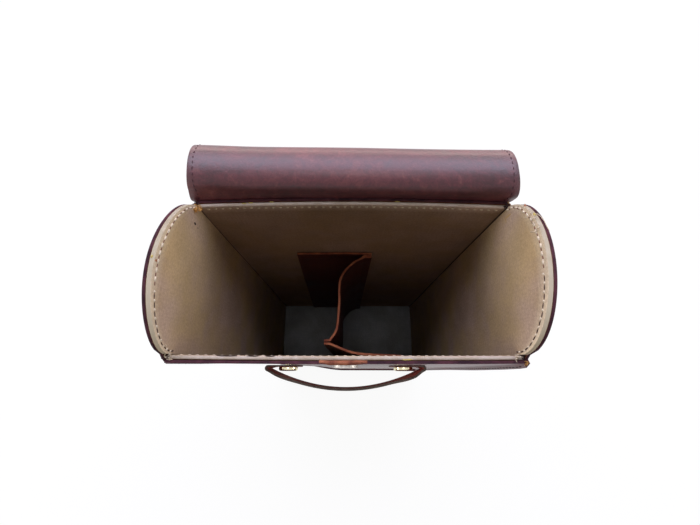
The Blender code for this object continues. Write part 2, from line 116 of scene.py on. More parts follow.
@dataclass(frozen=True)
class BagSizes:
    """The bag's sizes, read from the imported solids, and the few that they don't show."""

    half_x: float
    half_y: float
    board: float
    floor_z: float
    rim_z: float
    crown: float
    foot_z: float
    base_top: float
    leather: float = 1.6 * MM
    gap: float = 0.3 * MM
    flange: float = 3.0 * MM
    foot: float = 3.0 * MM

    @classmethod
    def from_frame(cls) -> "BagSizes":
        """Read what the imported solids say.

        Returns:
            The bag's sizes in metres.
        """
        lining_low, lining_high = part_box("front_lining")
        side_low, side_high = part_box("right_side_lining")
        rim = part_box("front_panel")[1][2]
        return cls(
            half_x=side_low[0],
            half_y=-lining_high[1],
            board=lining_high[1] - lining_low[1],
            floor_z=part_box("base_lining")[1][2],
            rim_z=rim,
            crown=side_high[2] - rim,
            foot_z=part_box("base_lining")[0][2],
            base_top=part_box("base_panel")[1][2],
        )

    @property
    def outer_x(self) -> float:
        """The outside face of a side panel."""
        return self.half_x + self.board + self.gap + self.leather

    @property
    def outer_y(self) -> float:
        """The outside face of the front or back panel."""
        return self.half_y + self.board + self.gap + self.leather

    def crown_z(self, y: float) -> float:
        """Height of the side panels' top edge.

        Args:
            y: the place across the depth.

        Returns:
            The rim's height, plus a half ellipse over the inside depth.
        """
        inside = 1 - (y / self.half_y) ** 2
        return self.rim_z + (self.crown * math.sqrt(inside) if inside > 0 else 0.0)

    def crown_ys(self, count: int) -> list[float]:
        """Stations across the depth, closer together where the dome is steep."""
        return [-self.half_y * math.cos(math.pi * i / count) for i in range(count + 1)]


@dataclass(frozen=True)
class Slump:
    """How far the sewn bag has given way from its straight shape."""

    sizes: BagSizes
    racking: float = 4.0 * MM
    back_bow: float = 2.2 * MM
    front_bow: float = 0.5 * MM
    left_splay: float = 0.05
    right_splay: float = 0.11
    left_shoulders: float = 0.15
    left_crown: float = 0.02
    foot_lean: float = 9 * MM
    right_swell: float = 0.5 * MM
    ripple: float = 0.35 * MM

    def rack_at(self, y: float) -> float:
        """How far the rim has moved to +X at a place across the depth."""
        half = self.sizes.half_y
        return self.racking * max(0.0, min(1.0, (y + half) / (2 * half)))

    def moved(self, point: Vector) -> Vector:
        """Where a point of the straight bag has gone.

        Args:
            point: a place on the straight bag.

        Returns:
            The place on the racked, bowed and splayed bag.
        """
        sizes = self.sizes
        height = max(0.0, min(1.0, point.z / sizes.rim_z))
        across = 1 - min(1.0, abs(point.x) / sizes.half_x) ** 2
        shift_x = self.rack_at(point.y) * height
        over = max(0.0, point.z - sizes.rim_z)
        beside = eased(abs(point.x), 0.9 * sizes.half_x, 0.1 * sizes.half_x)
        splay = self.right_splay if point.x > 0 else self.left_splay
        shift_x += math.copysign(splay * over * beside, point.x)
        shift_y = self.front_lean(point)
        if point.y > 0.9 * sizes.half_y:
            shift_y += self.back_bow * across * height**3
        elif point.y < -0.9 * sizes.half_y:
            shift_y -= self.front_bow * across * height**3
        shift_z = 0.0
        if point.x < 0:
            low = self.left_crown + self.left_shoulders * min(1.0, (point.y / sizes.half_y) ** 2)
            shift_z = -low * over * beside
        wander = noise.noise_vector(point * 14.0) * self.ripple * smoothstep(height * 4)
        return point + Vector((shift_x + wander.x, shift_y + wander.y, shift_z))

    def front_lean(self, point: Vector) -> float:
        """How far the front has gone back at its lower left and swells at its upper right.

        Args:
            point: a place on the straight bag.

        Returns:
            The shift along Y.
        """
        near_front = smoothstep(-point.y / self.sizes.half_y)
        leaning = eased(-point.x, 5 * MM, 75 * MM) * (1 - point.z / self.sizes.rim_z)
        below_rim = smoothstep((self.sizes.rim_z - point.z) / (12 * MM))
        swelling = eased(point.x, 57 * MM, 16 * MM) * below_rim
        swelling *= eased(point.z, 130 * MM, 140 * MM)
        lean = self.foot_lean * max(0.0, leaning) * near_front
        return lean - self.right_swell * swelling * eased(-point.y, 26 * MM, 18 * MM)


class Tree:
    """The nodes of a material or a world, added from the texture end to the shader end."""

    def __init__(self, name: str, world: bool = False) -> None:
        """Start a material, or a world, with its first shader."""
        self.owner = (bpy.data.worlds if world else bpy.data.materials).new(name)
        self.owner.use_nodes = True
        self.nodes = self.owner.node_tree.nodes
        self.links = self.owner.node_tree.links
        self.shader = self.nodes["Background" if world else "Principled BSDF"]
        self.output = self.nodes["World Output" if world else "Material Output"]

    def add(self, kind: str, values: dict | None = None, **settings: object) -> bpy.types.Node:
        """Add a node.

        Args:
            kind: the node type's end, such as TexNoise.
            values: socket values or sockets to link, by socket name or number.
            **settings: properties of the node itself.

        Returns:
            The new node.
        """
        node = self.nodes.new("ShaderNode" + kind)
        for name, value in settings.items():
            setattr(node, name, value)
        for socket, value in (values or {}).items():
            self.put(node.inputs[socket], value)
        return node

    def put(self, socket: Socket, value: object) -> None:
        """Link a socket to another, or set its value."""
        if isinstance(value, bpy.types.NodeSocket):
            self.links.new(value, socket)
        else:
            socket.default_value = value

    def uv(self) -> Socket:
        """The piece's own UV map, in metres along its surface."""
        return self.add("TexCoord").outputs["UV"]

    def object(self) -> Socket:
        """The piece's own coordinates, in metres."""
        return self.add("TexCoord").outputs["Object"]

    def toward_front(self, full: float, none: float) -> Socket:
        """A share that grows from 0 to 1 between two places along Y."""
        parts = self.add("SeparateXYZ", {0: self.object()})
        return self.fit(parts.outputs["Y"], full, none, 1.0, 0.0)

    def stretch(self, vector: Socket, scale: Colour, turn_deg: float = 0.0) -> Socket:
        """The coordinates scaled by axis and turned in the plane."""
        node = self.add("Mapping", {"Vector": vector, "Scale": scale})
        node.inputs["Rotation"].default_value = (0, 0, math.radians(turn_deg))
        return node.outputs[0]

    def noise(
        self, vector: Socket, scale: float, detail: float = 4, rough: float = 0.55, warp: float = 0
    ) -> Socket:
        """Fractal noise; scale is in features per metre."""
        values = {
            "Vector": vector,
            "Scale": scale,
            "Detail": detail,
            "Roughness": rough,
            "Distortion": warp,
        }
        return self.add("TexNoise", values).outputs[0]

    def cells(self, vector: Socket, scale: float, feature: str = "F1") -> Socket:
        """Distance to the nearest cell centre, or to the cell's edge."""
        node = self.add("TexVoronoi", feature=feature)
        self.put(node.inputs["Vector"], vector)
        self.put(node.inputs["Scale"], scale)
        return node.outputs["Distance"]

    def ramp(self, value: Socket, stops: Sequence[tuple[float, Colour]]) -> Socket:
        """Colours along a value."""
        node = self.add("ValToRGB", {0: value})
        elements = node.color_ramp.elements
        while len(elements) < len(stops):
            elements.new(1.0)
        for element, (position, colour) in zip(elements, stops):
            element.position = position
            element.color = (*colour, 1.0)
        return node.outputs[0]

    def calc(self, operation: str, a: object, b: object = 0.0, clamp: bool = False) -> Socket:
        """One arithmetic step."""
        return self.add("Math", {0: a, 1: b}, operation=operation, use_clamp=clamp).outputs[0]

    def times(self, a: object, b: object) -> Socket:
        """The product of two values."""
        return self.calc("MULTIPLY", a, b)

    def plus(self, a: object, b: object, clamp: bool = False) -> Socket:
        """The sum of two values."""
        return self.calc("ADD", a, b, clamp)

    def tinted(self, colour: object, share: Socket) -> Socket:
        """A colour made darker or lighter by a number."""
        tint = self.add("CombineColor", {0: share, 1: share, 2: share}).outputs[0]
        return self.mix(1.0, colour, tint, "MULTIPLY")

    def seen(self) -> Socket:
        """1 for camera, glossy and transmission rays, and 0 for the others."""
        rays = self.add("LightPath").outputs
        seen = self.calc("MAXIMUM", rays["Is Camera Ray"], rays["Is Glossy Ray"])
        return self.calc("MAXIMUM", seen, rays["Is Transmission Ray"])

    def shows(self, share: Socket, glow: bpy.types.Node) -> None:
        """Send a glow to the output in place of the first shader, by a share."""
        mix = self.add("MixShader", {0: share, 1: self.shader.outputs[0], 2: glow.outputs[0]})
        self.links.new(mix.outputs[0], self.output.inputs["Surface"])

    def fit(self, value: Socket, low: float, high: float, to_low: float, to_high: float) -> Socket:
        """A value's range moved to another and clamped there."""
        values = {
            "Value": value,
            "From Min": low,
            "From Max": high,
            "To Min": to_low,
            "To Max": to_high,
        }
        return self.add("MapRange", values, clamp=True).outputs[0]

    def mix(self, share: object, first: object, second: object, how: str = "MIX") -> Socket:
        """Two colours mixed; share is the second one's part."""
        node = self.add("Mix", data_type="RGBA", blend_type=how)
        for socket, value in ((0, share), (6, first), (7, second)):
            if isinstance(value, tuple):
                value = (*value, 1.0)
            self.put(node.inputs[socket], value)
        return node.outputs[2]

    def bump(
        self, height: Socket, strength: float, depth: float, under: Socket | None = None
    ) -> Socket:
        """A normal roughened by a height, over another normal if one is given."""
        values = {"Strength": strength, "Distance": depth, "Height": height}
        if under is not None:
            values["Normal"] = under
        return self.add("Bump", values).outputs[0]

    def shade(self, values: dict) -> bpy.types.Material:
        """Set the Principled shader's sockets.

        Args:
            values: socket names with a colour, a number or a socket.

        Returns:
            The finished material.
        """
        for name, value in values.items():
            if isinstance(value, tuple) and len(value) == 3:
                value = (*value, 1.0)
            self.put(self.shader.inputs[name], value)
        return self.owner


@dataclass(frozen=True)
class Leather:
    """Pull-up leather: cloudy colour, fine pores, soft wrinkles and pale scuffs."""

    name: str
    dark: Colour
    middle: Colour
    light: Colour
    roughness: float = 0.36
    coat: float = 0.25
    pore_depth: float = 0.10 * MM
    wrinkle_depth: float = 0.5 * MM
    scuff: Colour = (0.20, 0.09, 0.07)
    scuffing: float = 0.35
    specular: float = 0.22
    coat_roughness: float = 0.32
    softness: float = 0.18

    def build(self) -> bpy.types.Material:
        """Make the material.

        Returns:
            A material that reads the UV map in metres.
        """
        tree = Tree(self.name)
        flat = tree.uv()
        clouds = tree.noise(tree.stretch(flat, (13, 36, 1)), 1.0, 4, 0.6, 0.6)
        mottle = tree.noise(flat, 190, 6, 0.65, 0.8)
        shade = tree.plus(tree.times(clouds, 0.6), tree.times(mottle, 0.4))
        low, high = 0.5 - self.softness, 0.5 + self.softness
        colour = tree.ramp(shade, [(low, self.dark), (0.50, self.middle), (high, self.light)])
        along = tree.noise(tree.stretch(flat, (70, 1300, 1), 24), 1.0, 3, 0.6, 0.4)
        across = tree.noise(tree.stretch(flat, (1100, 90, 1), 63), 1.0, 3, 0.6, 0.4)
        lines = tree.calc("MAXIMUM", along, across)
        wear_and_rim_light = tree.noise(flat, 48, 4, 0.6)
        scratches = tree.times(
            tree.fit(lines, 0.66, 0.78, 0.0, 1.0),
            tree.fit(wear_and_rim_light, 0.48, 0.66, 0.0, self.scuffing),
        )
        rubbed = tree.times(tree.fit(mottle, 0.60, 0.72, 0, 1), 0.4 * self.scuffing)
        marks = tree.plus(scratches, rubbed, clamp=True)
        colour = tree.mix(marks, colour, self.scuff)
        grain = tree.fit(tree.noise(flat, 850, 2, 0.6), 0.3, 0.7, 0.80, 1.16)
        colour = tree.tinted(colour, grain)
        pores = tree.cells(flat, 1500)
        wrinkles = tree.noise(flat, 330, 4, 0.55, 0.5)
        normal = tree.bump(wrinkles, 0.35, self.wrinkle_depth)
        normal = tree.bump(pores, 0.4, self.pore_depth, normal)
        normal = tree.bump(lines, 0.12, 0.2 * MM, normal)
        rough = tree.fit(shade, 0.32, 0.68, self.roughness - 0.09, self.roughness + 0.13)
        return tree.shade(
            {
                "Base Color": colour,
                "Roughness": rough,
                "Normal": normal,
                "Coat Weight": self.coat,
                "Coat Roughness": self.coat_roughness,
                "Specular IOR Level": self.specular,
            }
        )


@dataclass(frozen=True)
class RawEdge:
    """The cut edge of leather: fibres across the thickness, stained in places, with painted light
    towards the front where a front colour is given.
    """

    name: str
    fibre: Colour
    stain: Colour
    front: Colour | None = None

    def build(self) -> bpy.types.Material:
        """Make the material."""
        tree = Tree(self.name)
        place = tree.object()
        fibres = tree.noise(place, 2600, 4, 0.7)
        patches = tree.noise(place, 130, 3, 0.6)
        share = tree.fit(tree.plus(tree.times(fibres, 0.5), patches), 0.6, 0.9, 0, 1)
        colour = tree.mix(share, self.fibre, self.stain)
        # Painted light: the edge is mixed towards a lighter front colour towards the front.
        if self.front:
            colour = tree.mix(tree.toward_front(-42 * MM, 30 * MM), colour, self.front)
        return tree.shade(
            {
                "Base Color": colour,
                "Roughness": 0.85,
                "Specular IOR Level": 0.1,
                "Normal": tree.bump(fibres, 0.6, 0.15 * MM),
            }
        )


@dataclass(frozen=True)
class Canvas:
    """Plain-weave canvas: over-and-under threads, slubs and faint dust, and a band of painted light
    under the boards' top edge that is lighter still towards the front.
    """

    name: str
    thread: Colour
    hollow: Colour
    stain: Colour
    # This colour and the front one below are painted light: a lighter band under the boards' top
    # edge, lighter still towards the front.
    wear_and_rim_light: Colour
    sizes: BagSizes
    front_rim_light: Colour = (0.80, 0.66, 0.46)
    straight_rim_shows: bool = False
    pitch: float = 0.75 * MM
    rim_light_depth: float = 9 * MM

    def below_rim(self, tree: Tree) -> Socket:
        """Depth of a place under the boards' top edge."""
        parts = tree.add("SeparateXYZ", {0: tree.object()}).outputs
        share = tree.calc("DIVIDE", parts["Y"], self.sizes.half_y)
        inside = tree.calc("MAXIMUM", tree.calc("SUBTRACT", 1.0, tree.times(share, share)), 0.0)
        dome = tree.times(tree.calc("SQRT", inside), self.sizes.crown)
        top = tree.plus(dome, self.sizes.rim_z)
        # Straight walls that are not to show the painted-light band have their top raised out of
        # its reach.
        if not self.straight_rim_shows:
            straight = tree.calc("LESS_THAN", inside, 0.001)
            top = tree.plus(top, tree.times(straight, self.rim_light_depth))
        return tree.calc("SUBTRACT", top, parts["Z"])

    def build(self) -> bpy.types.Material:
        """Make the material.

        Returns:
            A material that reads the UV map in metres.
        """
        tree = Tree(self.name)
        flat = tree.uv()
        wander = tree.noise(flat, 90, 2, 0.5)
        slubs_u = tree.noise(tree.stretch(flat, (1250, 45, 1)), 1.0, 2, 0.5)
        slubs_v = tree.noise(tree.stretch(flat, (45, 1250, 1)), 1.0, 2, 0.5)
        parts = tree.add("SeparateXYZ", {0: flat})
        waves = []
        for axis in (0, 1):
            turns = tree.times(parts.outputs[axis], math.pi / self.pitch)
            drift = tree.times(wander, 3.0)
            waves.append(tree.calc("SINE", tree.plus(turns, drift)))
        weave = tree.times(waves[0], waves[1])
        slub = tree.plus(slubs_u, slubs_v)
        light = tree.fit(tree.plus(tree.times(weave, 0.22), slub), 0.30, 1.70, 0.0, 1.0)
        colour = tree.mix(light, self.hollow, self.thread)
        grubby = tree.fit(tree.noise(flat, 22, 5, 0.6, 0.4), 0.38, 0.62, 0.0, 0.85)
        colour = tree.mix(grubby, colour, self.stain)
        # Painted light: the canvas is mixed towards a lighter colour over the top few millimetres
        # under the edge, lighter still towards the front.
        rim_light_share = tree.fit(self.below_rim(tree), 0.5 * MM, self.rim_light_depth, 0.75, 0.0)
        wear_and_rim_light = tree.mix(tree.toward_front(-46 * MM, 6 * MM), self.wear_and_rim_light, self.front_rim_light)
        colour = tree.mix(rim_light_share, colour, wear_and_rim_light)
        dust = tree.fit(tree.noise(flat, 35, 5, 0.65), 0.3, 0.7, 0.86, 1.06)
        dust = tree.times(dust, tree.fit(tree.noise(flat, 700, 2, 0.7), 0.3, 0.7, 0.84, 1.14))
        colour = tree.tinted(colour, dust)
        normal = tree.bump(weave, 0.30, 0.08 * MM)
        normal = tree.bump(slub, 0.25, 0.25 * MM, normal)
        return tree.shade(
            {
                "Base Color": colour,
                "Roughness": 0.92,
                "Normal": normal,
                "Specular IOR Level": 0.06,
            }
        )


@dataclass(frozen=True)
class Thread:
    """Twisted sewing thread."""

    name: str
    colour: Colour

    def build(self) -> bpy.types.Material:
        """Make the material."""
        tree = Tree(self.name)
        place = tree.object()
        ply = tree.noise(place, 1800, 2, 0.5)
        return tree.shade(
            {
                "Base Color": tree.tinted(self.colour, tree.fit(ply, 0.3, 0.7, 0.65, 1.1)),
                "Roughness": 0.6,
                "Specular IOR Level": 0.15,
                "Normal": tree.bump(ply, 0.4, 0.1 * MM),
            }
        )


@dataclass(frozen=True)
class Metal:
    """Polished or satin metal with fine wear."""

    name: str
    colour: Colour
    tarnish: Colour
    roughness: float

    def build(self) -> bpy.types.Material:
        """Make the material."""
        tree = Tree(self.name)
        place = tree.object()
        wear = tree.noise(place, 900, 5, 0.6)
        stain = tree.fit(tree.noise(place, 220, 3, 0.6), 0.45, 0.75, 0, 0.6)
        return tree.shade(
            {
                "Base Color": tree.mix(stain, self.colour, self.tarnish),
                "Metallic": 1.0,
                "Roughness": tree.fit(wear, 0.3, 0.7, self.roughness, self.roughness + 0.14),
                "Normal": tree.bump(wear, 0.05, 0.05 * MM),
            }
        )


class Finishes:
    """Every material of the bag, made once."""

    def __init__(self, sizes: BagSizes) -> None:
        """Build the materials."""
        burgundy = dict(
            dark=(0.040, 0.010, 0.015), middle=(0.083, 0.018, 0.025), light=(0.142, 0.035, 0.039)
        )
        gloss = dict(coat=0.30, coat_roughness=0.2)
        self.outer = Leather(
            "outer_leather", **burgundy, **gloss, roughness=0.50, scuffing=0.30
        ).build()
        rich = dict(burgundy, light=(0.155, 0.042, 0.044), specular=0.38, softness=0.135)
        self.lid = Leather("lid_leather", **rich, roughness=0.42, coat=0.25, scuffing=0.5).build()
        self.flesh = Leather(
            "flesh_side",
            dark=(0.11, 0.035, 0.022),
            middle=(0.17, 0.06, 0.035),
            light=(0.22, 0.09, 0.05),
            roughness=0.85,
            coat=0.0,
            specular=0.08,
        ).build()
        self.divider = Leather(
            "divider_leather",
            dark=(0.030, 0.008, 0.006),
            middle=(0.060, 0.016, 0.012),
            light=(0.095, 0.030, 0.020),
            roughness=0.5,
            coat=0.0,
            scuff=(0.14, 0.05, 0.03),
            specular=0.10,
        ).build()
        self.strap_inside = Leather(
            "strap_inside",
            dark=(0.22, 0.040, 0.032),
            middle=(0.34, 0.060, 0.045),
            light=(0.42, 0.090, 0.065),
            roughness=0.55,
            coat=0.05,
        ).build()
        self.strap_edge = RawEdge("strap_edge", (0.22, 0.175, 0.155), (0.12, 0.085, 0.075)).build()
        self.dark_edge = RawEdge("dark_edge", (0.085, 0.028, 0.036), (0.028, 0.012, 0.017)).build()
        self.tan_edge = RawEdge("tan_edge", (0.30, 0.10, 0.045), (0.14, 0.035, 0.02)).build()
        # The fourth colour of each wall canvas is painted light on the band under the top edge.
        self.canvas = Canvas(
            "canvas",
            (0.50, 0.365, 0.265),
            (0.33, 0.230, 0.165),
            (0.43, 0.305, 0.155),
            (0.64, 0.53, 0.39),
            sizes,
        ).build()
        # Painted shade: a darker copy of the canvas for the back wall's inside.
        self.back_canvas = Canvas(
            "back_canvas",
            (0.36, 0.255, 0.190),
            (0.24, 0.160, 0.115),
            (0.28, 0.185, 0.105),
            (0.60, 0.46, 0.37),
            sizes,
            straight_rim_shows=True,
        ).build()
        # Painted shade: the floor board at the bottom of the bag gets a darker, grey copy of the
        # canvas.
        grey = (0.16, 0.155, 0.15)
        self.floor_canvas = Canvas(
            "floor_canvas", (0.27, 0.27, 0.28), (0.15, 0.15, 0.16), grey, grey, sizes
        ).build()
        # The dome edges take painted light: their front colour is lighter.
        self.dome_edge = RawEdge(
            "dome_edge", (0.38, 0.325, 0.245), (0.30, 0.245, 0.165), front=(0.62, 0.51, 0.35)
        ).build()
        self.canvas_edge = RawEdge(
            "canvas_edge", (0.50, 0.415, 0.345), (0.40, 0.310, 0.225)
        ).build()
        self.cream_thread = Thread("cream_thread", (0.62, 0.50, 0.36)).build()
        self.dark_thread = Thread("dark_thread", (0.035, 0.016, 0.016)).build()
        self.lid_thread = Thread("lid_thread", (0.060, 0.024, 0.030)).build()
        self.tan_thread = Thread("tan_thread", (0.68, 0.57, 0.43)).build()
        self.orange_thread = Thread("orange_thread", (0.55, 0.28, 0.08)).build()
        self.dye = Thread("dye", (0.30, 0.115, 0.055)).build()
        self.gold_stain = Thread("gold_stain", (0.46, 0.30, 0.13)).build()
        # Painted shade: dabs that darken needle holes, and the gap at a back corner.
        self.soft_hole_and_gap_shade = Thread("soft_hole_and_gap_shade", (0.090, 0.052, 0.040)).build()
        self.red_hole_shade = Thread("red_hole_shade", (0.21, 0.105, 0.075)).build()
        self.glue = Thread("glue", (0.48, 0.36, 0.10)).build()
        self.raw_patch = RawEdge("raw_patch", (0.42, 0.155, 0.075), (0.14, 0.04, 0.025)).build()
        # Painted shade: a very dark colour for stray holes, rim gaps and the right back corner.
        self.dark_hole_and_gap_shade = Thread("dark_hole_and_gap_shade", (0.030, 0.014, 0.010)).build()
        self.brass = Metal("brass", (0.86, 0.79, 0.54), (0.36, 0.29, 0.16), 0.16).build()
        self.nickel = Metal("nickel", (0.62, 0.58, 0.55), (0.34, 0.30, 0.28), 0.36).build()


def link_object(name: str, data: bpy.types.ID) -> bpy.types.Object:
    """Put a mesh, curve, lamp or camera in the scene."""
    obj = bpy.data.objects.new(name, data)
    bpy.context.scene.collection.objects.link(obj)
    return obj


def new_piece(
    name: str, bm: bmesh.types.BMesh, materials: Sequence[bpy.types.Material]
) -> bpy.types.Object:
    """Turn a bmesh into a piece of the scene.

    Args:
        name: the piece's name.
        bm: its mesh, which is freed.
        materials: its slots, in order.

    Returns:
        The object, at the origin.
    """
    mesh = bpy.data.meshes.new(name)
    bm.to_mesh(mesh)
    bm.free()
    for material in materials:
        mesh.materials.append(material)
    return link_object(name, mesh)


def finished_mesh(obj: bpy.types.Object) -> bpy.types.Mesh:
    """A piece's mesh with its modifiers or its curve worked out."""
    bpy.context.view_layer.update()
    graph = bpy.context.evaluated_depsgraph_get()
    return bpy.data.meshes.new_from_object(obj.evaluated_get(graph))


def shade_smooth(obj: bpy.types.Object, angle_deg: float = 40) -> None:
    """Shade smooth, with edges sharper than an angle kept."""
    obj.data.shade_smooth()
    obj.data.set_sharp_from_angle(angle=math.radians(angle_deg))


def grid_mesh(
    columns: int,
    rows: int,
    place: Callable[[int, int], Vector],
    flat: Callable[[int, int], tuple[float, float]],
    keep: Callable[[int, int], bool] | None = None,
) -> bmesh.types.BMesh:
    """A grid laid over a surface, with a UV map in metres.

    Args:
        columns: how many stations it has one way.
        rows: how many it has the other way.
        place: the point at a column and row.
        flat: the UV at a column and row.
        keep: whether the face whose first corner is at a column and row stays.

    Returns:
        The mesh, one face thick.
    """
    bm = bmesh.new()
    bmesh.ops.create_grid(bm, x_segments=columns - 1, y_segments=rows - 1, size=0.5)
    stations = {
        vert: (round((vert.co.x + 0.5) * (columns - 1)), round((vert.co.y + 0.5) * (rows - 1)))
        for vert in bm.verts
    }
    layer = bm.loops.layers.uv.verify()
    for face in bm.faces:
        for loop in face.loops:
            loop[layer].uv = flat(*stations[loop.vert])
    if keep is not None:
        gone = [
            face
            for face in bm.faces
            if not keep(*(min(stations[vert][axis] for vert in face.verts) for axis in (0, 1)))
        ]
        bmesh.ops.delete(bm, geom=gone, context="FACES")
    for vert in bm.verts:
        vert.co = place(*stations[vert])
    return bm


def thick_piece(
    name: str,
    bm: bmesh.types.BMesh,
    thickness: float,
    materials: Sequence[bpy.types.Material],
    edge: float,
    edge_steps: int = 2,
) -> bpy.types.Object:
    """Give a sheet its thickness and rounded edges, as a finished mesh.

    Args:
        name: the piece's name.
        bm: the sheet through the middle of its thickness.
        thickness: the leather's or board's thickness.
        materials: the outer face's, the inner face's and the cut edge's material.
        edge: the rounding of the cut edges.
        edge_steps: how many faces go round that edge.

    Returns:
        The object.
    """
    obj = new_piece(name, bm, materials)
    solid = obj.modifiers.new("thickness", "SOLIDIFY")
    solid.thickness = thickness
    solid.offset = 0
    solid.use_even_offset = True
    solid.use_quality_normals = True
    solid.material_offset = min(1, len(materials) - 1)
    solid.material_offset_rim = min(2, len(materials) - 1)
    bevel = obj.modifiers.new("edge", "BEVEL")
    bevel.width = edge
    bevel.segments = edge_steps
    bevel.limit_method = "ANGLE"
    bevel.angle_limit = math.radians(60)
    mesh = finished_mesh(obj)
    obj.modifiers.clear()
    obj.data = mesh
    return obj


def thread_piece(
    name: str, strands: Sequence[Sequence[Vector]], radius: float, material: bpy.types.Material
) -> bpy.types.Object:
    """Loose thread: one round strand along each line of points.

    Args:
        name: the piece's name.
        strands: the lines.
        radius: the thread's radius.
        material: its finish.

    Returns:
        The threads as one mesh.
    """
    curve = bpy.data.curves.new(name, "CURVE")
    curve.dimensions = "3D"
    curve.bevel_depth = radius
    curve.bevel_resolution = 1
    curve.use_fill_caps = True
    for strand in strands:
        spline = curve.splines.new("POLY")
        spline.points.add(len(strand) - 1)
        for point, place in zip(spline.points, strand):
            point.co = (*place, 1.0)
    drawn = link_object(name, curve)
    mesh = finished_mesh(drawn)
    bpy.data.objects.remove(drawn, do_unlink=True)
    mesh.materials.clear()
    mesh.materials.append(material)
    obj = link_object(name, mesh)
    shade_smooth(obj, 70)
    return obj


def move_all(obj: bpy.types.Object, moved: Callable[[Vector], Vector]) -> None:
    """Move every point of a finished mesh."""
    for vert in obj.data.vertices:
        vert.co = moved(vert.co.copy())
    obj.data.update()


def rounded_path(corners: Sequence[Vector], radius: float, pitch: float) -> list[Vector]:
    """A plan path with its corners rounded and its straight runs divided.

    Args:
        corners: the path's corner points.
        radius: the fillet radius.
        pitch: the longest step on a straight run.

    Returns:
        Points along the path.
    """
    path = [corners[0]]
    for before, corner, after in zip(corners, corners[1:], corners[2:]):
        back = (before - corner).normalized()
        ahead = (after - corner).normalized()
        half_angle = back.angle(ahead) / 2
        reach = radius / math.tan(half_angle)
        start, end = corner + back * reach, corner + ahead * reach
        path += divided(path[-1], start, pitch)
        for i in range(1, 5):
            t = i / 4
            path.append((1 - t) ** 2 * start + 2 * t * (1 - t) * corner + t**2 * end)
    return path + divided(path[-1], corners[-1], pitch)


def divided(start: Vector, end: Vector, pitch: float) -> list[Vector]:
    """Even points from start to end, without the start."""
    return [start.lerp(end, t) for t in spaced(0, 1, pitch / max((end - start).length, 1e-9))[1:]]


def run_lengths(points: Sequence[Vector]) -> list[float]:
    """The distance walked to each point of a path."""
    lengths = [0.0]
    for a, b in zip(points, points[1:]):
        lengths.append(lengths[-1] + (b - a).length)
    return lengths


def smooth_curve(knots: Sequence[Vector], steps: int) -> list[Vector]:
    """A Catmull-Rom curve through points, with its ends kept."""
    points = [2 * knots[0] - knots[1], *knots, 2 * knots[-1] - knots[-2]]
    curve = []
    for a, b, c, d in zip(points, points[1:], points[2:], points[3:]):
        for i in range(steps):
            t = i / steps
            straight = 2 * b + (c - a) * t
            bend = (2 * a - 5 * b + 4 * c - d) * t**2 + (3 * b - a - 3 * c + d) * t**3
            curve.append(0.5 * (straight + bend))
    return [*curve, knots[-1]]


@dataclass
class StitchRow:
    """Stitches gathered into one mesh."""

    pitch: float = 4.5 * MM
    length: float = 3.5 * MM
    width: float = 0.75 * MM
    height: float = 0.55 * MM
    unevenness: float = 0.25 * MM
    phase: float = 0.0
    places: list[Matrix] = field(default_factory=list)

    def sew(self, points: Sequence[Vector], normal: Callable[[Vector], Vector]) -> None:
        """Lay stitches along a path.

        Args:
            points: the path over the surface.
            normal: the surface's outward direction at a point.
        """
        lengths = run_lengths(points)
        count = max(1, int(lengths[-1] / self.pitch))
        margin = (lengths[-1] - count * self.pitch) / 2
        for number in range(count):
            middle = margin + (number + 0.5 + self.phase) * self.pitch
            index = min(bisect_right(lengths, middle), len(points) - 1)
            a, b = points[index - 1], points[index]
            share = (middle - lengths[index - 1]) / max(lengths[index] - lengths[index - 1], 1e-9)
            self.stitch(a.lerp(b, share), (b - a).normalized(), normal(a.lerp(b, share)))

    def dab(self, centre: Vector, along: Vector, up: Vector, size: Colour) -> None:
        """Lay one rounded dab of a given length, width and height."""
        side = up.cross(along).normalized()
        turn = Matrix((along.normalized(), side, up.normalized())).transposed().to_4x4()
        scale = Matrix.Diagonal((size[0] / 2, size[1] / 2, size[2] / 2, 1))
        self.places.append(Matrix.Translation(centre) @ turn @ scale)

    def stitch(self, centre: Vector, along: Vector, up: Vector) -> None:
        """Add one stitch, a little out of line."""
        jitter = noise.noise_vector(centre * 900)
        side = up.cross(along).normalized()
        along = (along + side * 0.10 * jitter.x).normalized()
        side = up.cross(along).normalized()
        centre = centre + side * self.unevenness * jitter.y
        self.dab(centre, along, up, (self.length, self.width, self.height))

    def finish(self, name: str, material: bpy.types.Material) -> bpy.types.Object:
        """Turn the stitches into a piece, each one a copy of the same rounded shape."""
        bm = bmesh.new()
        lying = Matrix.Rotation(math.pi / 2, 4, "Y")
        bmesh.ops.create_uvsphere(bm, u_segments=8, v_segments=6, radius=1, matrix=lying)
        rounded = [vert.co.copy() for vert in bm.verts]
        faces = [[vert.index for vert in face.verts] for face in bm.faces]
        bm.free()
        mesh = bpy.data.meshes.new(name)
        points = [place @ co for place in self.places for co in rounded]
        starts = range(0, len(points), len(rounded))
        mesh.from_pydata(points, [], [[i + n for i in face] for n in starts for face in faces])
        mesh.materials.append(material)
        obj = link_object(name, mesh)
        shade_smooth(obj, 80)
        return obj


@dataclass
class BagPart:
    """A sub-assembly that is sewn to the bag and has slumped with it."""

    sizes: BagSizes
    slump: Slump
    finishes: Finishes

    def dress(
        self, obj: bpy.types.Object, slot: str, node: str | None = None, smooth: float | None = 40
    ) -> None:
        """Slump a piece with the bag, shade it, hang it on the bag and hide the solid that it
        stands for.

        Args:
            obj: the piece.
            slot: not used.
            node: the solid that it stands for, if it stands for one.
            smooth: the angle in degrees above which edges stay sharp, or None for as it is.
        """
        move_all(obj, self.slump.moved)
        if smooth is not None:
            shade_smooth(obj, smooth)
        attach(obj, "bag")
        if node is not None:
            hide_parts(node)
        LOG.info("%s", obj.name)


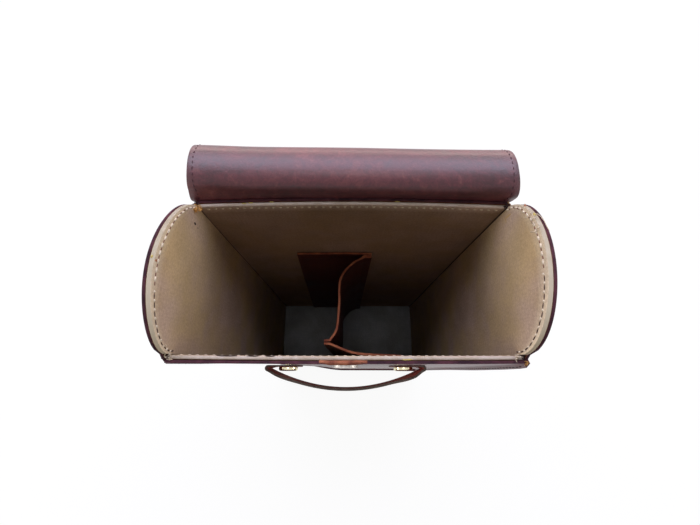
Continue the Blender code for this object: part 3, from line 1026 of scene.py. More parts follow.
def box_mesh(node: str) -> bmesh.types.BMesh:
    """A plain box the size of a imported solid."""
    low, high = (Vector(corner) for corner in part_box(node))
    bm = bmesh.new()
    bmesh.ops.create_cube(bm, size=1)
    bmesh.ops.scale(bm, vec=high - low, verts=bm.verts)
    bmesh.ops.translate(bm, vec=(low + high) / 2, verts=bm.verts)
    return bm


def round_off(
    bm: bmesh.types.BMesh, edges: Iterable[bmesh.types.BMEdge], radius: float, steps: int
) -> None:
    """Round some edges of a mesh."""
    settings = dict(affect="EDGES", profile=0.5, material=-1)
    bmesh.ops.bevel(bm, geom=list(edges), offset=radius, segments=steps, **settings)


@dataclass
class LeatherShell(BagPart):
    """Front, back, side and base leather, sewn with their edges turned out."""

    pitch: float = 3.2 * MM
    seam_radius: float = 1.2 * MM
    seam_at_rim: float = 0.3
    seam_dip: float = 0.7
    front_right_kept: float = 0.85
    long_press: float = 440 * MM
    short_press: float = 40 * MM
    foot_end: float = 1.6 * MM
    row_pitch: float = 4 * MM
    cut_rounding: float = 0.35 * MM
    base_corner: float = 6 * MM
    stitch_share: float = 0.62

    def corner(self, along_front: bool) -> tuple[Vector, Vector]:
        """Where a panel turns into a corner seam and where the seam ends, at +X and -Y.

        Args:
            along_front: whether the panel is the front or back one.

        Returns:
            The turn and the tip, on the panel's middle surface.
        """
        sizes = self.sizes
        corner = Vector((sizes.outer_x - sizes.leather / 2, -sizes.outer_y + sizes.leather / 2, 0))
        diagonal = Vector((1, -1, 0)).normalized()
        aside = Vector((-1, -1, 0)).normalized() * (sizes.leather / 2 + 0.03 * MM)
        if not along_front:
            aside = -aside
        return corner + aside - diagonal * aside.length, corner + aside + diagonal * sizes.flange

    def plan(self, side: Side) -> tuple[list[Vector], float]:
        """A wall's path seen from above, and where its straight run ends.

        Args:
            side: the wall.

        Returns:
            Points from one seam tip to the other, and the half length of the straight run.
        """
        turn, tip = self.corner(side.across)
        if side.across:
            flip = -side.outward.y
            corners = [Vector((-p.x, p.y * flip, 0)) for p in (tip, turn)]
            corners += [Vector((p.x, p.y * flip, 0)) for p in (turn, tip)]
            return rounded_path(corners, self.seam_radius, self.pitch), turn.x
        flip = side.outward.x
        corners = [Vector((p.x * flip, p.y, 0)) for p in (tip, turn)]
        corners += [Vector((p.x * flip, -p.y, 0)) for p in (turn, tip)]
        return rounded_path(corners, self.seam_radius, 2.0 * MM), -turn.y

    def pressed(self, point: Vector, seam: float) -> Vector:
        """Where a seam's point lies once its upper end is pressed in.

        Args:
            point: a place on the straight seam.
            seam: how far out on the seam it is.

        Returns:
            The place, nearer to the bag's corner the closer it is to the rim.
        """
        depth = self.sizes.rim_z - point.z
        reach = self.long_press if point.x < 0 > point.y else self.short_press
        kept = self.front_right_kept if point.y < 0 < point.x else self.seam_at_rim
        share = (1 - kept) * (1 - smoothstep(depth / reach))
        diagonal = Vector((math.copysign(1, point.x), math.copysign(1, point.y), 0)).normalized()
        return point - diagonal * seam * share

    def wall(self, side: Side) -> None:
        """One leather wall with its turned foot and corner seams.

        Args:
            side: which wall.
        """
        sizes, across, node = self.sizes, side.across, f"{side.word}_panel"
        path, straight = self.plan(side)
        lengths = run_lengths(path)
        outward = side.outward
        foot_mid = sizes.foot_z + sizes.leather / 2
        foot = [(sizes.foot * (1 - i / 2), foot_mid) for i in range(2)]
        foot += [(0.4 * MM, foot_mid + 0.15 * MM), (0.1 * MM, foot_mid + 0.6 * MM)]
        heights = spaced(0, 1, self.row_pitch / sizes.rim_z)

        def top(point: Vector) -> float:
            return sizes.rim_z if across else sizes.crown_z(point.y)

        def place(i: int, j: int) -> Vector:
            base = path[i]
            if j < len(foot):
                out, z = foot[j]
                return base + outward * out + Vector((0, 0, z))
            low = foot_mid + 1.2 * MM
            share = heights[j - len(foot)]
            seam = max(0.0, (abs(base.x) if across else abs(base.y)) - straight) * math.sqrt(2)
            z = low + share * (top(base) - low - self.seam_dip * seam)
            return self.pressed(base + Vector((0, 0, z)), seam)

        def keep(i: int, j: int) -> bool:
            middle = (path[i] + path[i + 1]) / 2
            along = abs(middle.x) if across else abs(middle.y)
            return j >= len(foot) - 1 or along < straight - self.foot_end

        rows = len(foot) + len(heights)
        bm = grid_mesh(len(path), rows, place, lambda i, j: (lengths[i], place(i, j).z), keep)
        looks = [self.finishes.outer, self.finishes.flesh, self.finishes.dark_edge]
        outer = bmesh_faces_outward(bm, outward)
        obj = thick_piece(f"{node}_leather", outer, sizes.leather, looks, self.cut_rounding)
        self.dress(obj, "outer_leather", node)

    def base(self) -> None:
        """The flat leather base, its edge running out under the turned feet."""
        bm = box_mesh("base_panel")
        uprights = [e for e in bm.edges if abs(e.verts[0].co.z - e.verts[1].co.z) > MM]
        round_off(bm, uprights, self.base_corner, 8)
        rims = [e for e in bm.edges if abs(e.verts[0].co.z - e.verts[1].co.z) < MM / 10]
        round_off(bm, rims, self.cut_rounding, 2)
        box_uv(bm)
        for face in bm.faces:
            if abs(face.normal.z) < 0.5:
                face.material_index = 1
        obj = new_piece("base_leather", bm, [self.finishes.outer, self.finishes.dark_edge])
        self.dress(obj, "outer_leather", "base_panel")

    def stitches(self) -> None:
        """Dark stitching down the corner seams, along the foot and under the rim outside."""
        sizes = self.sizes
        row = StitchRow()
        for sx in (-1, 1):
            for sy in (-1, 1):
                for along_front in (True, False):
                    turn, tip = self.corner(along_front)
                    middle = turn.lerp(tip, self.stitch_share)
                    up = Vector((-sx, sy, 0)) if along_front else Vector((sx, -sy, 0))
                    up = up.normalized()
                    at = Vector((middle.x * sx, -middle.y * sy, 0)) + up * sizes.leather / 2
                    seam = self.stitch_share * (tip - turn).length
                    heights = spaced(8 * MM, sizes.rim_z - 4 * MM, self.row_pitch)
                    points = [self.pressed(at + Vector((0, 0, z)), seam) for z in heights]
                    row.sew(points, lambda p, up=up: up)
        top = sizes.foot_z + sizes.leather
        out_x, out_y = sizes.outer_x + 0.55 * sizes.foot, sizes.outer_y + 0.55 * sizes.foot
        reach_x, reach_y = sizes.outer_x - 4 * MM, sizes.outer_y - 4 * MM
        up = Vector((0, 0, 1))
        for sign in (-1, 1):
            y, x = sign * out_y, sign * out_x
            row.sew([Vector((end, y, top)) for end in (-reach_x, reach_x)], lambda p: up)
            row.sew([Vector((x, end, top)) for end in (-reach_y, reach_y)], lambda p: up)
        obj = row.finish("seam_stitches", self.finishes.dark_thread)
        self.dress(obj, "outer_leather", smooth=None)

    def build(self) -> None:
        """Make all five panels and their stitching."""
        for side in Side:
            self.wall(side)
        self.base()
        self.stitches()


def bmesh_faces_outward(bm: bmesh.types.BMesh, outward: Vector) -> bmesh.types.BMesh:
    """Turn a sheet's faces so that most of them look outward."""
    bm.normal_update()
    total = sum((face.normal * face.calc_area() for face in bm.faces), Vector())
    if total.dot(outward) < 0:
        bmesh.ops.reverse_faces(bm, faces=bm.faces)
    return bm


def box_uv(bm: bmesh.types.BMesh) -> None:
    """Give every face a UV map in metres, seen along its nearest axis."""
    bm.normal_update()
    layer = bm.loops.layers.uv.verify()
    for face in bm.faces:
        axis = max(range(3), key=lambda k: abs(face.normal[k]))
        first, second = [(1, 2), (0, 2), (0, 1)][axis]
        for loop in face.loops:
            loop[layer].uv = (loop.vert.co[first], loop.vert.co[second])


@dataclass
class Lining(BagPart):
    """Canvas-covered boards inside the leather."""

    stitch_drop: float = 3.2 * MM
    rim_drop: float = 3.0 * MM
    row_pitch: float = 4 * MM
    board_rounding: float = 1.05 * MM
    floor_rounding: float = 0.7 * MM
    cord_radius: float = 0.42 * MM

    def board(self, side: Side) -> None:
        """One wall board.

        Args:
            side: which wall.
        """
        sizes, across, node = self.sizes, side.across, f"{side.word}_lining"
        middle = (sizes.half_y if across else sizes.half_x) + sizes.board / 2
        if across:
            reach = sizes.half_x + sizes.board
            stations = spaced(-reach, reach, self.row_pitch)
            plan = [Vector((x, side.outward.y * middle, 0)) for x in stations]
        else:
            shares = [max(-1, min(1, y / sizes.half_y)) for y in sizes.crown_ys(40)]
            depth = sizes.half_y - sizes.gap
            plan = [Vector((side.outward.x * middle, share * depth, 0)) for share in shares]
        heights = spaced(0, 1, self.row_pitch / sizes.rim_z)

        def place(i: int, j: int) -> Vector:
            base = plan[i]
            top = sizes.rim_z if across else sizes.crown_z(base.y)
            return base + Vector((0, 0, sizes.foot_z + heights[j] * (top - sizes.foot_z)))

        def flat(i: int, j: int) -> tuple[float, float]:
            point = place(i, j)
            return (point.x if across else point.y, point.z)

        bm = bmesh_faces_outward(grid_mesh(len(plan), len(heights), place, flat), -side.outward)
        # The back wall's inside takes the darker canvas, as painted shade.
        canvas = self.finishes.back_canvas if side is Side.BACK else self.finishes.canvas
        edge = self.finishes.canvas_edge if across else self.finishes.dome_edge
        looks = [canvas, canvas, edge]
        obj = thick_piece(f"{node}_canvas", bm, sizes.board, looks, self.board_rounding, 4)
        self.dress(obj, "canvas_lining", node)

    def floor(self) -> None:
        """The floor board."""
        bm = box_mesh("base_lining")
        round_off(bm, bm.edges, self.floor_rounding, 2)
        box_uv(bm)
        obj = new_piece("floor_canvas", bm, [self.finishes.floor_canvas])
        self.dress(obj, "canvas_lining", "base_lining")

    def stitches(self) -> None:
        """Stitches round the inside a little under the rim, with needle holes between them, dark
        dabs of painted shade.
        """
        sizes, drop = self.sizes, self.stitch_drop
        even = dict(length=2.0 * MM, width=1.0 * MM, unevenness=0.4 * MM)
        straight = StitchRow(height=1.3 * MM, **even)
        pressed = StitchRow(height=0.7 * MM, **even)
        raised = dict(height=1.2 * MM, unevenness=0.6 * MM)
        long_ones = StitchRow(length=2.9 * MM, width=1.4 * MM, **raised)
        short_ones = StitchRow(length=1.5 * MM, width=1.1 * MM, **raised)
        # The holes are dark dabs that paint the shade in each needle hole between the dome
        # stitches.
        sunk = dict(width=0.9 * MM, height=0.5 * MM, unevenness=0.4 * MM, phase=0.5)
        dark_holes = StitchRow(length=3.1 * MM, **sunk)
        red_holes = StitchRow(length=2.2 * MM, **sunk)
        for sign in (-1, 1):
            z = sizes.rim_z - self.rim_drop
            y = sign * sizes.half_y
            reach = sizes.half_x - 2 * MM
            points = [Vector((x, y, z)) for x in spaced(-reach, reach, self.row_pitch)]
            (straight if sign > 0 else pressed).sew(points, lambda p, s=sign: Vector((0, -s, 0)))
            across = sizes.half_y - 1.8 * MM
            rise = sizes.crown - drop
            angles = spaced(math.radians(-5), math.radians(185), math.radians(3))
            x = sign * sizes.half_x
            turns = [(across * math.cos(a), sizes.rim_z + rise * math.sin(a)) for a in angles]
            arc = [Vector((x, along, up)) for along, up in turns]
            turn = next(k for k, point in enumerate(arc) if point.y < (5 * sign - 7) * MM)
            for row in (long_ones, red_holes):
                row.sew(arc[: turn + 1], lambda p, s=sign: Vector((-s, 0, 0)))
            for row in (short_ones, dark_holes):
                row.sew(arc[turn:], lambda p, s=sign: Vector((-s, 0, 0)))
        for row, name, material in (
            (straight, "back_rim_stitches", self.finishes.cream_thread),
            (pressed, "front_rim_stitches", self.finishes.cream_thread),
            (long_ones, "dome_back_stitches", self.finishes.tan_thread),
            (short_ones, "dome_front_stitches", self.finishes.tan_thread),
            (red_holes, "dome_red_holes", self.finishes.red_hole_shade),
            (dark_holes, "dome_needle_holes", self.finishes.soft_hole_and_gap_shade),
        ):
            self.dress(row.finish(name, material), "canvas_lining", smooth=None)

    def corner_cords(self) -> None:
        """Dark thread down the two back corners from the rim to the floor, partly the thread that
        closes them and partly painted shade in the gap there.
        """
        sizes, finishes = self.sizes, self.finishes
        for word, sign, inset, material in (
            ("left", -1, -0.12 * MM, finishes.soft_hole_and_gap_shade),
            ("right", 1, 0.35 * MM, finishes.dark_hole_and_gap_shade),
        ):
            x, y = sign * (sizes.half_x - inset), sizes.half_y - inset
            levels = spaced(sizes.floor_z, sizes.rim_z + 1 * MM, 8 * MM)
            strand = [Vector((x, y, z)) for z in levels]
            obj = thread_piece(f"corner_cord_{word}", [strand], self.cord_radius, material)
            self.dress(obj, "canvas_lining", smooth=None)

    def build(self) -> None:
        """Make the five boards and their stitches."""
        for side in Side:
            self.board(side)
        self.floor()
        self.stitches()
        self.corner_cords()


@dataclass
class Divider(BagPart):
    """The Z of three leather pieces between the bottles, with pinched corners."""

    leather: float = 1.8 * MM

    def sheet(self, node: str, path: Sequence[Vector], foot_spread: float = 0.0) -> None:
        """One upright leather piece of the divider.

        Args:
            node: the solid that it stands for.
            path: its middle line seen from above.
            foot_spread: how much farther its free end reaches at the floor than at the top.
        """
        low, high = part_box(node)[0][2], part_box(node)[1][2]
        lengths = run_lengths(path)
        heights = spaced(0, 1, 5 * MM / (high - low))

        def place(i: int, j: int) -> Vector:
            share = heights[j]
            spread = foot_spread * (1 - share) * (1 - lengths[i] / lengths[-1])
            wave = 0.5 * MM * noise.noise(Vector((lengths[i] * 40, share * 6, 3.1)))
            return path[i] + Vector((spread, wave, low + share * (high - low)))

        bm = grid_mesh(len(path), len(heights), place, lambda i, j: (lengths[i], place(i, j).z))
        looks = [self.finishes.divider, self.finishes.divider, self.finishes.tan_edge]
        obj = thick_piece(f"{node}_leather", bm, self.leather, looks, 0.3 * MM)
        self.dress(obj, "divider_leather", node)

    def build(self) -> None:
        """Make the back flange, the web and the front flange."""
        step = self.leather + 0.3 * MM
        seam_x, web_back, web_front = 18 * MM, 40.2 * MM, -29.6 * MM
        curve_steps = 8

        def at(x: float, y: float) -> Vector:
            return Vector((x * MM, y * MM, 0))

        free_end = at(-45, 42.3)
        flange = divided(free_end, Vector((seam_x, web_back + step, 0)), 4 * MM)
        flange = [free_end, *flange]
        bends = ((12, 40.2), (1, 33.5), (-7.4, 20.5), (-7.6, 0), (-8.6, -20), (-13.5, -29.1))
        web = smooth_curve([at(x, y) for x, y in bends], curve_steps)
        web = [Vector((seam_x, web_back, 0)), *web, Vector((-seam_x, web_front, 0))]
        bends = ((-13.5, -31.7), (-4, -35.2), (6, -38.4), (20, -39.9), (43, -40.4))
        front = smooth_curve([at(x, y) for x, y in bends], curve_steps)
        front = [Vector((-seam_x, web_front - step, 0)), *front]
        self.sheet("divider_back_flange", flange, foot_spread=-7 * MM)
        self.sheet("divider_web", web)
        self.sheet("divider_front_flange", front)


@dataclass
class Lid(BagPart):
    """The lid: cover and lining leather, cut at each strip's middle."""

    width: float = 195 * MM
    thickness: float = 3.2 * MM
    seam_in: float = 3.2 * MM
    narrow_foot: float = 1.2 * MM
    wide_foot: float = 2.2 * MM
    lean_back: float = 0.65 * MM
    twist: float = 1.3 * MM
    left_flare: float = 0.6 * MM
    aside: float = 0.8 * MM
    past_edge: float = 59 * MM
    flap_corner: float = 12 * MM
    end_stitches: float = 3.5 * MM
    stitch_lift: float = 0.05 * MM
    clearance: float = 0.05 * MM
    beside_cut: float = 0.06 * MM
    strips: int = 9

    def __post_init__(self) -> None:
        """Lay the lid's run over the joints: bent at each, straight at each strip's middle."""
        placed = [joint for joint in frame["joints"] if "pos_m" in joint]
        joints = {joint["name"]: Vector(joint["pos_m"]) for joint in placed}
        pivots = [joints[f"lid_bend_{n}"] for n in range(1, self.strips + 2)]
        foot = Vector((0, pivots[0].y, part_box("lid_back_band")[0][2]))
        end = Vector((0, pivots[-1].y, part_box("lid_flap")[0][2]))
        middles = [pivots[0].lerp(foot, 3.5 * MM / (pivots[0] - foot).length)]
        middles += [a.lerp(b, 0.5) for a, b in zip(pivots, pivots[1:])]
        middles.append(pivots[-1].lerp(end, 0.3))
        self.run = [foot, *divided(foot, middles[0], 1 * MM)]
        self.cuts: list[float] = []
        for before, pivot, after in zip(middles, pivots, middles[1:]):
            for i in range(1, 17):
                t = i / 16
                self.run.append((1 - t) ** 2 * before + 2 * t * (1 - t) * pivot + t**2 * after)
            self.cuts.append(run_lengths(self.run)[-1])
        self.cuts.pop()
        self.run += divided(middles[-1], end, 1 * MM)
        self.lengths = run_lengths(self.run)
        self.middles = middles
        self.total = self.lengths[-1]
        heights = [point.z for point in self.run[:20]]
        self.rise = self.lengths[bisect_right(heights, pivots[0].z - 1 * MM) - 1]

    def along(self, s: float) -> tuple[Vector, Vector]:
        """The lid's run at rest.

        Args:
            s: distance along the run from the foot of the band.

        Returns:
            The point on the middle surface, and the direction to the cover's side.
        """
        index = min(max(bisect_right(self.lengths, s), 1), len(self.run) - 1)
        share = (s - self.lengths[index - 1]) / (self.lengths[index] - self.lengths[index - 1])

        def ahead(k: int) -> Vector:
            low, high = max(k - 1, 0), min(k + 1, len(self.run) - 1)
            return (self.run[high] - self.run[low]).normalized()

        along = ahead(index - 1).lerp(ahead(index), share).normalized()
        return self.run[index - 1].lerp(self.run[index], share), Vector((0, along.z, -along.y))

    def stations(self) -> list[float]:
        """Rows along the run: fine on the hill, and closest beside each cut."""
        near = self.beside_cut
        hill_end = self.cuts[4]
        rows = spaced(0, hill_end, 1.0 * MM) + spaced(hill_end, self.total, 2.6 * MM)[1:]
        rows = [s for s in rows if all(abs(s - cut) > 0.4 * MM for cut in self.cuts)]
        for cut in self.cuts:
            rows += [cut - near, cut, cut + near]
        return sorted(rows)

    def shifted(self, point: Vector, s: float) -> Vector:
        """Where a point of the straight lid lies, racked with the rim and sagging a little.

        Args:
            point: a place on the straight lid.
            s: its distance along the run.

        Returns:
            The place, moved along X and square to the leather only, so that both sides of a cut
            stay together.
        """
        share = s / self.total
        out = self.along(s)[1]
        across = point.x / (self.width / 2)
        shift = self.slump.racking * (1 - 0.8 * share)
        fading = 1 - eased(s, 0.5 * self.rise, 2.2 * self.rise)
        bow = self.slump.back_bow * (1 - across**2) * fading
        wander = noise.noise_vector(Vector((point.x * 16, s * 16, 7.7))) * 0.4 * MM
        ease = eased(s, self.rise, 10 * MM)
        flare = self.left_flare * eased(-across, 0.6, 0.4)
        back = (self.lean_back - self.twist * across + flare) * ease
        back *= 1 - eased(s, self.past_edge, 15 * MM)
        shift += self.aside * ease * (1 - eased(s, 2.5 * self.rise, 2 * self.rise))
        return point + Vector((shift, 0, 0)) + out * ((bow + back) * out.y + wander.y * ease)

    def flare(self, s: float) -> float:
        """How much farther than its width the lid reaches at each end of its foot."""
        past = s - self.rise
        narrow = -self.narrow_foot * (1 - eased(past, -12 * MM, 10 * MM))
        widening = eased(past, -4 * MM, 6 * MM) * (1 - smoothstep(past / (24 * MM)))
        return narrow + self.wide_foot * widening

    def layer(self, cover: bool) -> bpy.types.Object:
        """One leather layer, whole.

        Args:
            cover: whether it is the cover, or the lining side that shows when the lid is open.

        Returns:
            The layer, straight in X.
        """
        rows = self.stations()
        half = self.width / 2
        columns = spaced(-half, half, 4 * MM)
        thickness = self.thickness / 2 - 0.05 * MM
        offset = (1 if cover else -1) * (self.thickness / 4 + 0.025 * MM)
        corner = self.flap_corner

        def place(i: int, j: int) -> Vector:
            s = rows[j]
            point, out = self.along(s)
            reach = 1.0
            left = self.total - s
            if left < corner:
                rounding = math.sqrt(max(0.0, corner**2 - (corner - left) ** 2))
                reach = (half - corner + rounding) / half
            reach *= 1 + self.flare(s) / half
            return point + out * offset + Vector((columns[i] * reach, 0, 0))

        bm = grid_mesh(len(columns), len(rows), place, lambda i, j: (columns[i], rows[j]))
        bm = bmesh_faces_outward(bm, Vector((0, -1, -1)) if cover else Vector((0, 1, 1)))
        finish = self.finishes
        name = "lid_cover" if cover else "lid_lining"
        looks = [finish.outer if cover else finish.lid, finish.flesh, finish.dark_edge]
        return thick_piece(name, bm, thickness, looks, 0.35 * MM)

    def build(self) -> None:
        """Make both layers and cut them at the strips' middles into lengths."""
        cuts = self.cuts
        layers = [self.layer(True), self.layer(False)]
        nodes = ["lid_back_band", *[f"lid_strip_{n}" for n in range(1, self.strips + 1)]]
        for number in range(self.strips + 1):
            low = cuts[number - 1] if number else -1.0
            high = cuts[number] if number < self.strips else 10.0
            obj = self.length(f"lid_length_{number + 1}", layers, low, high)
            start, end = self.bend_span(number)
            for piece in (obj, self.stitches(f"lid_stitches_{number + 1}", low, high)):
                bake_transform(piece)
                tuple(start)
                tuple(end)
            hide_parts(nodes[number])
            if number == self.strips:
                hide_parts("lid_flap")
            LOG.info("%s", obj.name)
        for layer in layers:
            bpy.data.objects.remove(layer, do_unlink=True)

    def bend_span(self, number: int) -> tuple[Vector, Vector]:
        """Two points on one length's run, moved just clear of every point at its two cuts.

        Args:
            number: the length, counted from the foot.

        Returns:
            The two points.
        """
        start, end = self.middles[number], self.middles[number + 1]
        axis = (end - start).normalized()

        def reaches(middle: Vector, s: float) -> list[float]:
            out = self.along(s)[1] * (self.thickness / 2)
            return [
                (self.shifted(middle + out * side + Vector((x, 0, 0)), s) - middle).dot(axis)
                for x in spaced(-self.width / 2, self.width / 2, 8 * MM)
                for side in (-1, 0, 1)
            ]

        if number:
            ahead = max(0.0, *reaches(start, self.cuts[number - 1]))
            start = start + axis * (ahead + self.clearance)
        if number < self.strips:
            behind = min(0.0, *reaches(end, self.cuts[number]))
            end = end + axis * (behind - self.clearance)
        return start, end

    def length(
        self, name: str, layers: Sequence[bpy.types.Object], low: float, high: float
    ) -> bpy.types.Object:
        """Cut one length out of both layers.

        Args:
            name: the piece's name.
            layers: the whole cover and lining.
            low: where the length starts along the run.
            high: where it ends.

        Returns:
            One closed piece with both layers.
        """
        bm = bmesh.new()
        slots = []
        for layer in layers:
            first = len(bm.faces)
            bm.from_mesh(layer.data)
            bm.faces.ensure_lookup_table()
            for face in bm.faces[first:]:
                face.material_index += len(slots)
            slots += list(layer.data.materials)
        flat = bm.loops.layers.uv.active
        gone = []
        for face in bm.faces:
            s = sum(loop[flat].uv.y for loop in face.loops) / len(face.loops)
            if not low < s < high:
                gone.append(face)
        bmesh.ops.delete(bm, geom=gone, context="FACES")
        run = {vert: vert.link_loops[0][flat].uv.y for vert in bm.verts if vert.link_loops}
        for vert, s in run.items():
            vert.co = self.shifted(vert.co, s)
        open_edges = [edge for edge in bm.edges if edge.is_boundary]
        for edge in open_edges:
            edge.smooth = False
        caps = bmesh.ops.holes_fill(bm, edges=open_edges, sides=0)["faces"]
        for face in bm.faces:
            face.smooth = True
        for face in caps:
            face.smooth = False
        return new_piece(name, bm, slots)

    def stitches(self, name: str, low: float, high: float) -> bpy.types.Object:
        """Dark stitches down both sides of one length, and across it where the lid ends.

        Args:
            name: the piece's name.
            low: where the length starts along the run.
            high: where it ends.

        Returns:
            The stitches as one piece.
        """
        row = StitchRow(pitch=3.4 * MM, length=2.1 * MM, width=0.65 * MM, height=0.45 * MM)
        x = self.width / 2 - self.seam_in
        low, high = max(low, 3 * MM), min(high, self.total - self.end_stitches)
        lift = self.thickness / 2 + self.stitch_lift
        whole = StitchPlaces(3 * MM, self.total - 14 * MM, row.pitch)
        for s in whole.between(low, high):
            point, out = self.along(s)
            ahead = self.along(s + 0.5 * MM)[0]
            for face in (-1, 1):
                up = out * face
                for sign in (-1, 1):
                    centre = point + up * lift
                    centre.x = sign * x
                    row.stitch(self.shifted(centre, s), (ahead - point).normalized(), up)
        across = StitchPlaces(-x + 8 * MM, x - 8 * MM, row.pitch)
        for level in (self.end_stitches, self.total - self.end_stitches):
            if low <= level <= high:
                point, out = self.along(level)
                for face in (-1, 1):
                    for along_x in across.between(-1, 1):
                        centre = point + out * face * lift
                        centre.x = along_x
                        row.stitch(self.shifted(centre, level), Vector((1, 0, 0)), out * face)
        return row.finish(name, self.finishes.lid_thread)


@dataclass(frozen=True)
class StitchPlaces:
    """Even stitch places along a whole seam, so that its parts keep one rhythm."""

    start: float
    end: float
    pitch: float

    def between(self, low: float, high: float) -> Iterable[float]:
        """The places that fall in a part of the seam."""
        count = int((self.end - self.start) / self.pitch)
        for number in range(count + 1):
            place = self.start + number * self.pitch
            if low < place <= high:
                yield place


@dataclass
class Handle:
    """The strap handle, its folded ends and its two brass studs."""

    sizes: BagSizes
    finishes: Finishes
    leather: float = 1.8 * MM
    fold_x: float = 51.8 * MM
    tab_end: float = 30 * MM
    skiving: float = 0.42
    lean: float = 1.5 * MM

    def offset(self, x: float) -> float:
        """How far the loop's middle line stands off the front panel."""
        tab = self.sizes.gap + self.leather / 2
        start = tab + self.leather + self.sizes.gap
        low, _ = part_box("handle_strap")
        reach = -self.sizes.outer_y - low[1] - self.leather / 2
        return start + (reach - start) * (1 - (x / self.fold_x) ** 2)

    def path(self) -> list[Vector]:
        """The strap's middle line from one end under its stud, round the loop, to the other."""
        tab = 0.08 * MM + self.leather / 2
        fold = (self.offset(self.fold_x) - tab) / 2
        end = [(x, tab) for x in spaced(self.tab_end, self.fold_x, 2 * MM)]
        for i in range(1, 8):
            angle = math.pi * i / 8
            end.append((self.fold_x + fold * math.sin(angle), tab + fold - fold * math.cos(angle)))
        loop = [(x, self.offset(x)) for x in spaced(-self.fold_x, self.fold_x, 1.8 * MM)]
        points = [(-x, d) for x, d in end] + loop + [(x, d) for x, d in reversed(end)]
        return [Vector((x, -self.sizes.outer_y - d, 0)) for x, d in points]

    def tilt(self, point: Vector) -> float:
        """How far the loop's upper edge leans out, most a little in from each fold."""
        if -self.sizes.outer_y - point.y < self.sizes.gap + 2 * self.leather:
            return 0.0
        inward = self.fold_x - abs(point.x)
        lean = self.lean if point.x > 0 else 0.4 * self.lean
        fading = 1 - eased(inward, 7 * MM, 16 * MM)
        return lean * smoothstep(inward / (6 * MM)) * fading

    def strap(self) -> bpy.types.Object:
        """The whole strap as one piece."""
        low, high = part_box("handle_strap")
        middle_z = (low[2] + high[2]) / 2
        half = (high[2] - low[2]) / 2
        path = self.path()
        lengths = run_lengths(path)
        levels = spaced(-half, half, 2 * MM)

        def place(i: int, j: int) -> Vector:
            from_end = min(lengths[i], lengths[-1] - lengths[i])
            reach = 1.0
            if from_end < half * 0.6:
                reach = 0.35 + 0.65 * math.sqrt(1 - (1 - from_end / (half * 0.6)) ** 2)
            level = levels[j] * reach
            tilt = self.tilt(path[i]) * (level / half + 1) / 2
            return path[i] + Vector((0, -tilt, middle_z + level))

        bm = grid_mesh(len(path), len(levels), place, lambda i, j: (lengths[i], levels[j]))
        bm = self.outside_out(bm)
        finish = self.finishes
        looks = [finish.outer, finish.strap_inside, finish.strap_edge]
        obj = thick_piece("handle_leather", bm, self.leather, looks, 0.5 * MM, 3)
        move_all(obj, self.skived)
        shade_smooth(obj)
        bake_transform(obj)
        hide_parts("handle_strap", "handle_end_left", "handle_end_right")
        return obj

    def skived(self, point: Vector) -> Vector:
        """Where a point of an end tab goes as the tab is thinned against the panel."""
        depth = -self.sizes.outer_y - point.y
        if depth > self.leather + 0.2 * MM:
            return point
        share = self.skiving * smoothstep((self.fold_x + 0.5 * MM - abs(point.x)) / (4 * MM))
        return point + Vector((0, depth * share, 0))

    @staticmethod
    def outside_out(bm: bmesh.types.BMesh) -> bmesh.types.BMesh:
        """Turn the strap's faces so that its grain side looks away from the panel."""
        bm.normal_update()
        front = min(bm.faces, key=lambda face: face.calc_center_median().y)
        if front.normal.y > 0:
            bmesh.ops.reverse_faces(bm, faces=bm.faces)
        return bm

    def build(self) -> None:
        """Make the strap and finish the studs."""
        LOG.info("%s", self.strap().name)
        for word in ("left", "right"):
            LOG.info("%s", self.stud(f"handle_stud_{word}").name)
            paint(f"handle_burr_{word}", self.finishes.brass)

    def stud(self, node: str) -> bpy.types.Object:
        """A brass stud with a drum-shaped cap, turned about the way it points.

        Args:
            node: the solid that it stands for.

        Returns:
            The dressed piece.
        """
        low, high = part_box(node)
        radius = (high[0] - low[0]) / 2
        under = -self.sizes.outer_y - self.leather * (1 - self.skiving) - 0.12 * MM
        tip = low[1] + 0.85 * MM
        shank, rounding, chamfer = 2.4 * MM, 1.3 * MM, 0.3 * MM
        profile = [(0, high[1]), (shank, high[1]), (shank, under), (radius - chamfer, under)]
        profile += [(radius, under - chamfer), (radius, tip + rounding)]
        for i in range(1, 7):
            angle = math.pi / 2 * i / 6
            inward, back = rounding * (1 - math.cos(angle)), rounding * (1 - math.sin(angle))
            profile.append((radius - inward, tip + back))
        profile += [(radius * 0.45, tip - 0.12 * MM), (0, tip - 0.15 * MM)]
        middle = Vector(((low[0] + high[0]) / 2, 0, (low[2] + high[2]) / 2))
        bm = bmesh.new()
        line = [bm.verts.new(middle + Vector((r, y, 0))) for r, y in profile]
        edges = [bm.edges.new(pair) for pair in zip(line, line[1:])]
        turn = dict(axis=(0, 1, 0), angle=math.tau, steps=40, use_merge=True)
        bmesh.ops.spin(bm, geom=line + edges, cent=middle, **turn)
        bmesh.ops.remove_doubles(bm, verts=bm.verts, dist=0.001 * MM)
        bmesh.ops.recalc_face_normals(bm, faces=bm.faces)
        obj = new_piece(f"{node}_brass", bm, [self.finishes.brass])
        shade_smooth(obj, 35)
        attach(obj, "bag")
        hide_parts(node)
        return obj


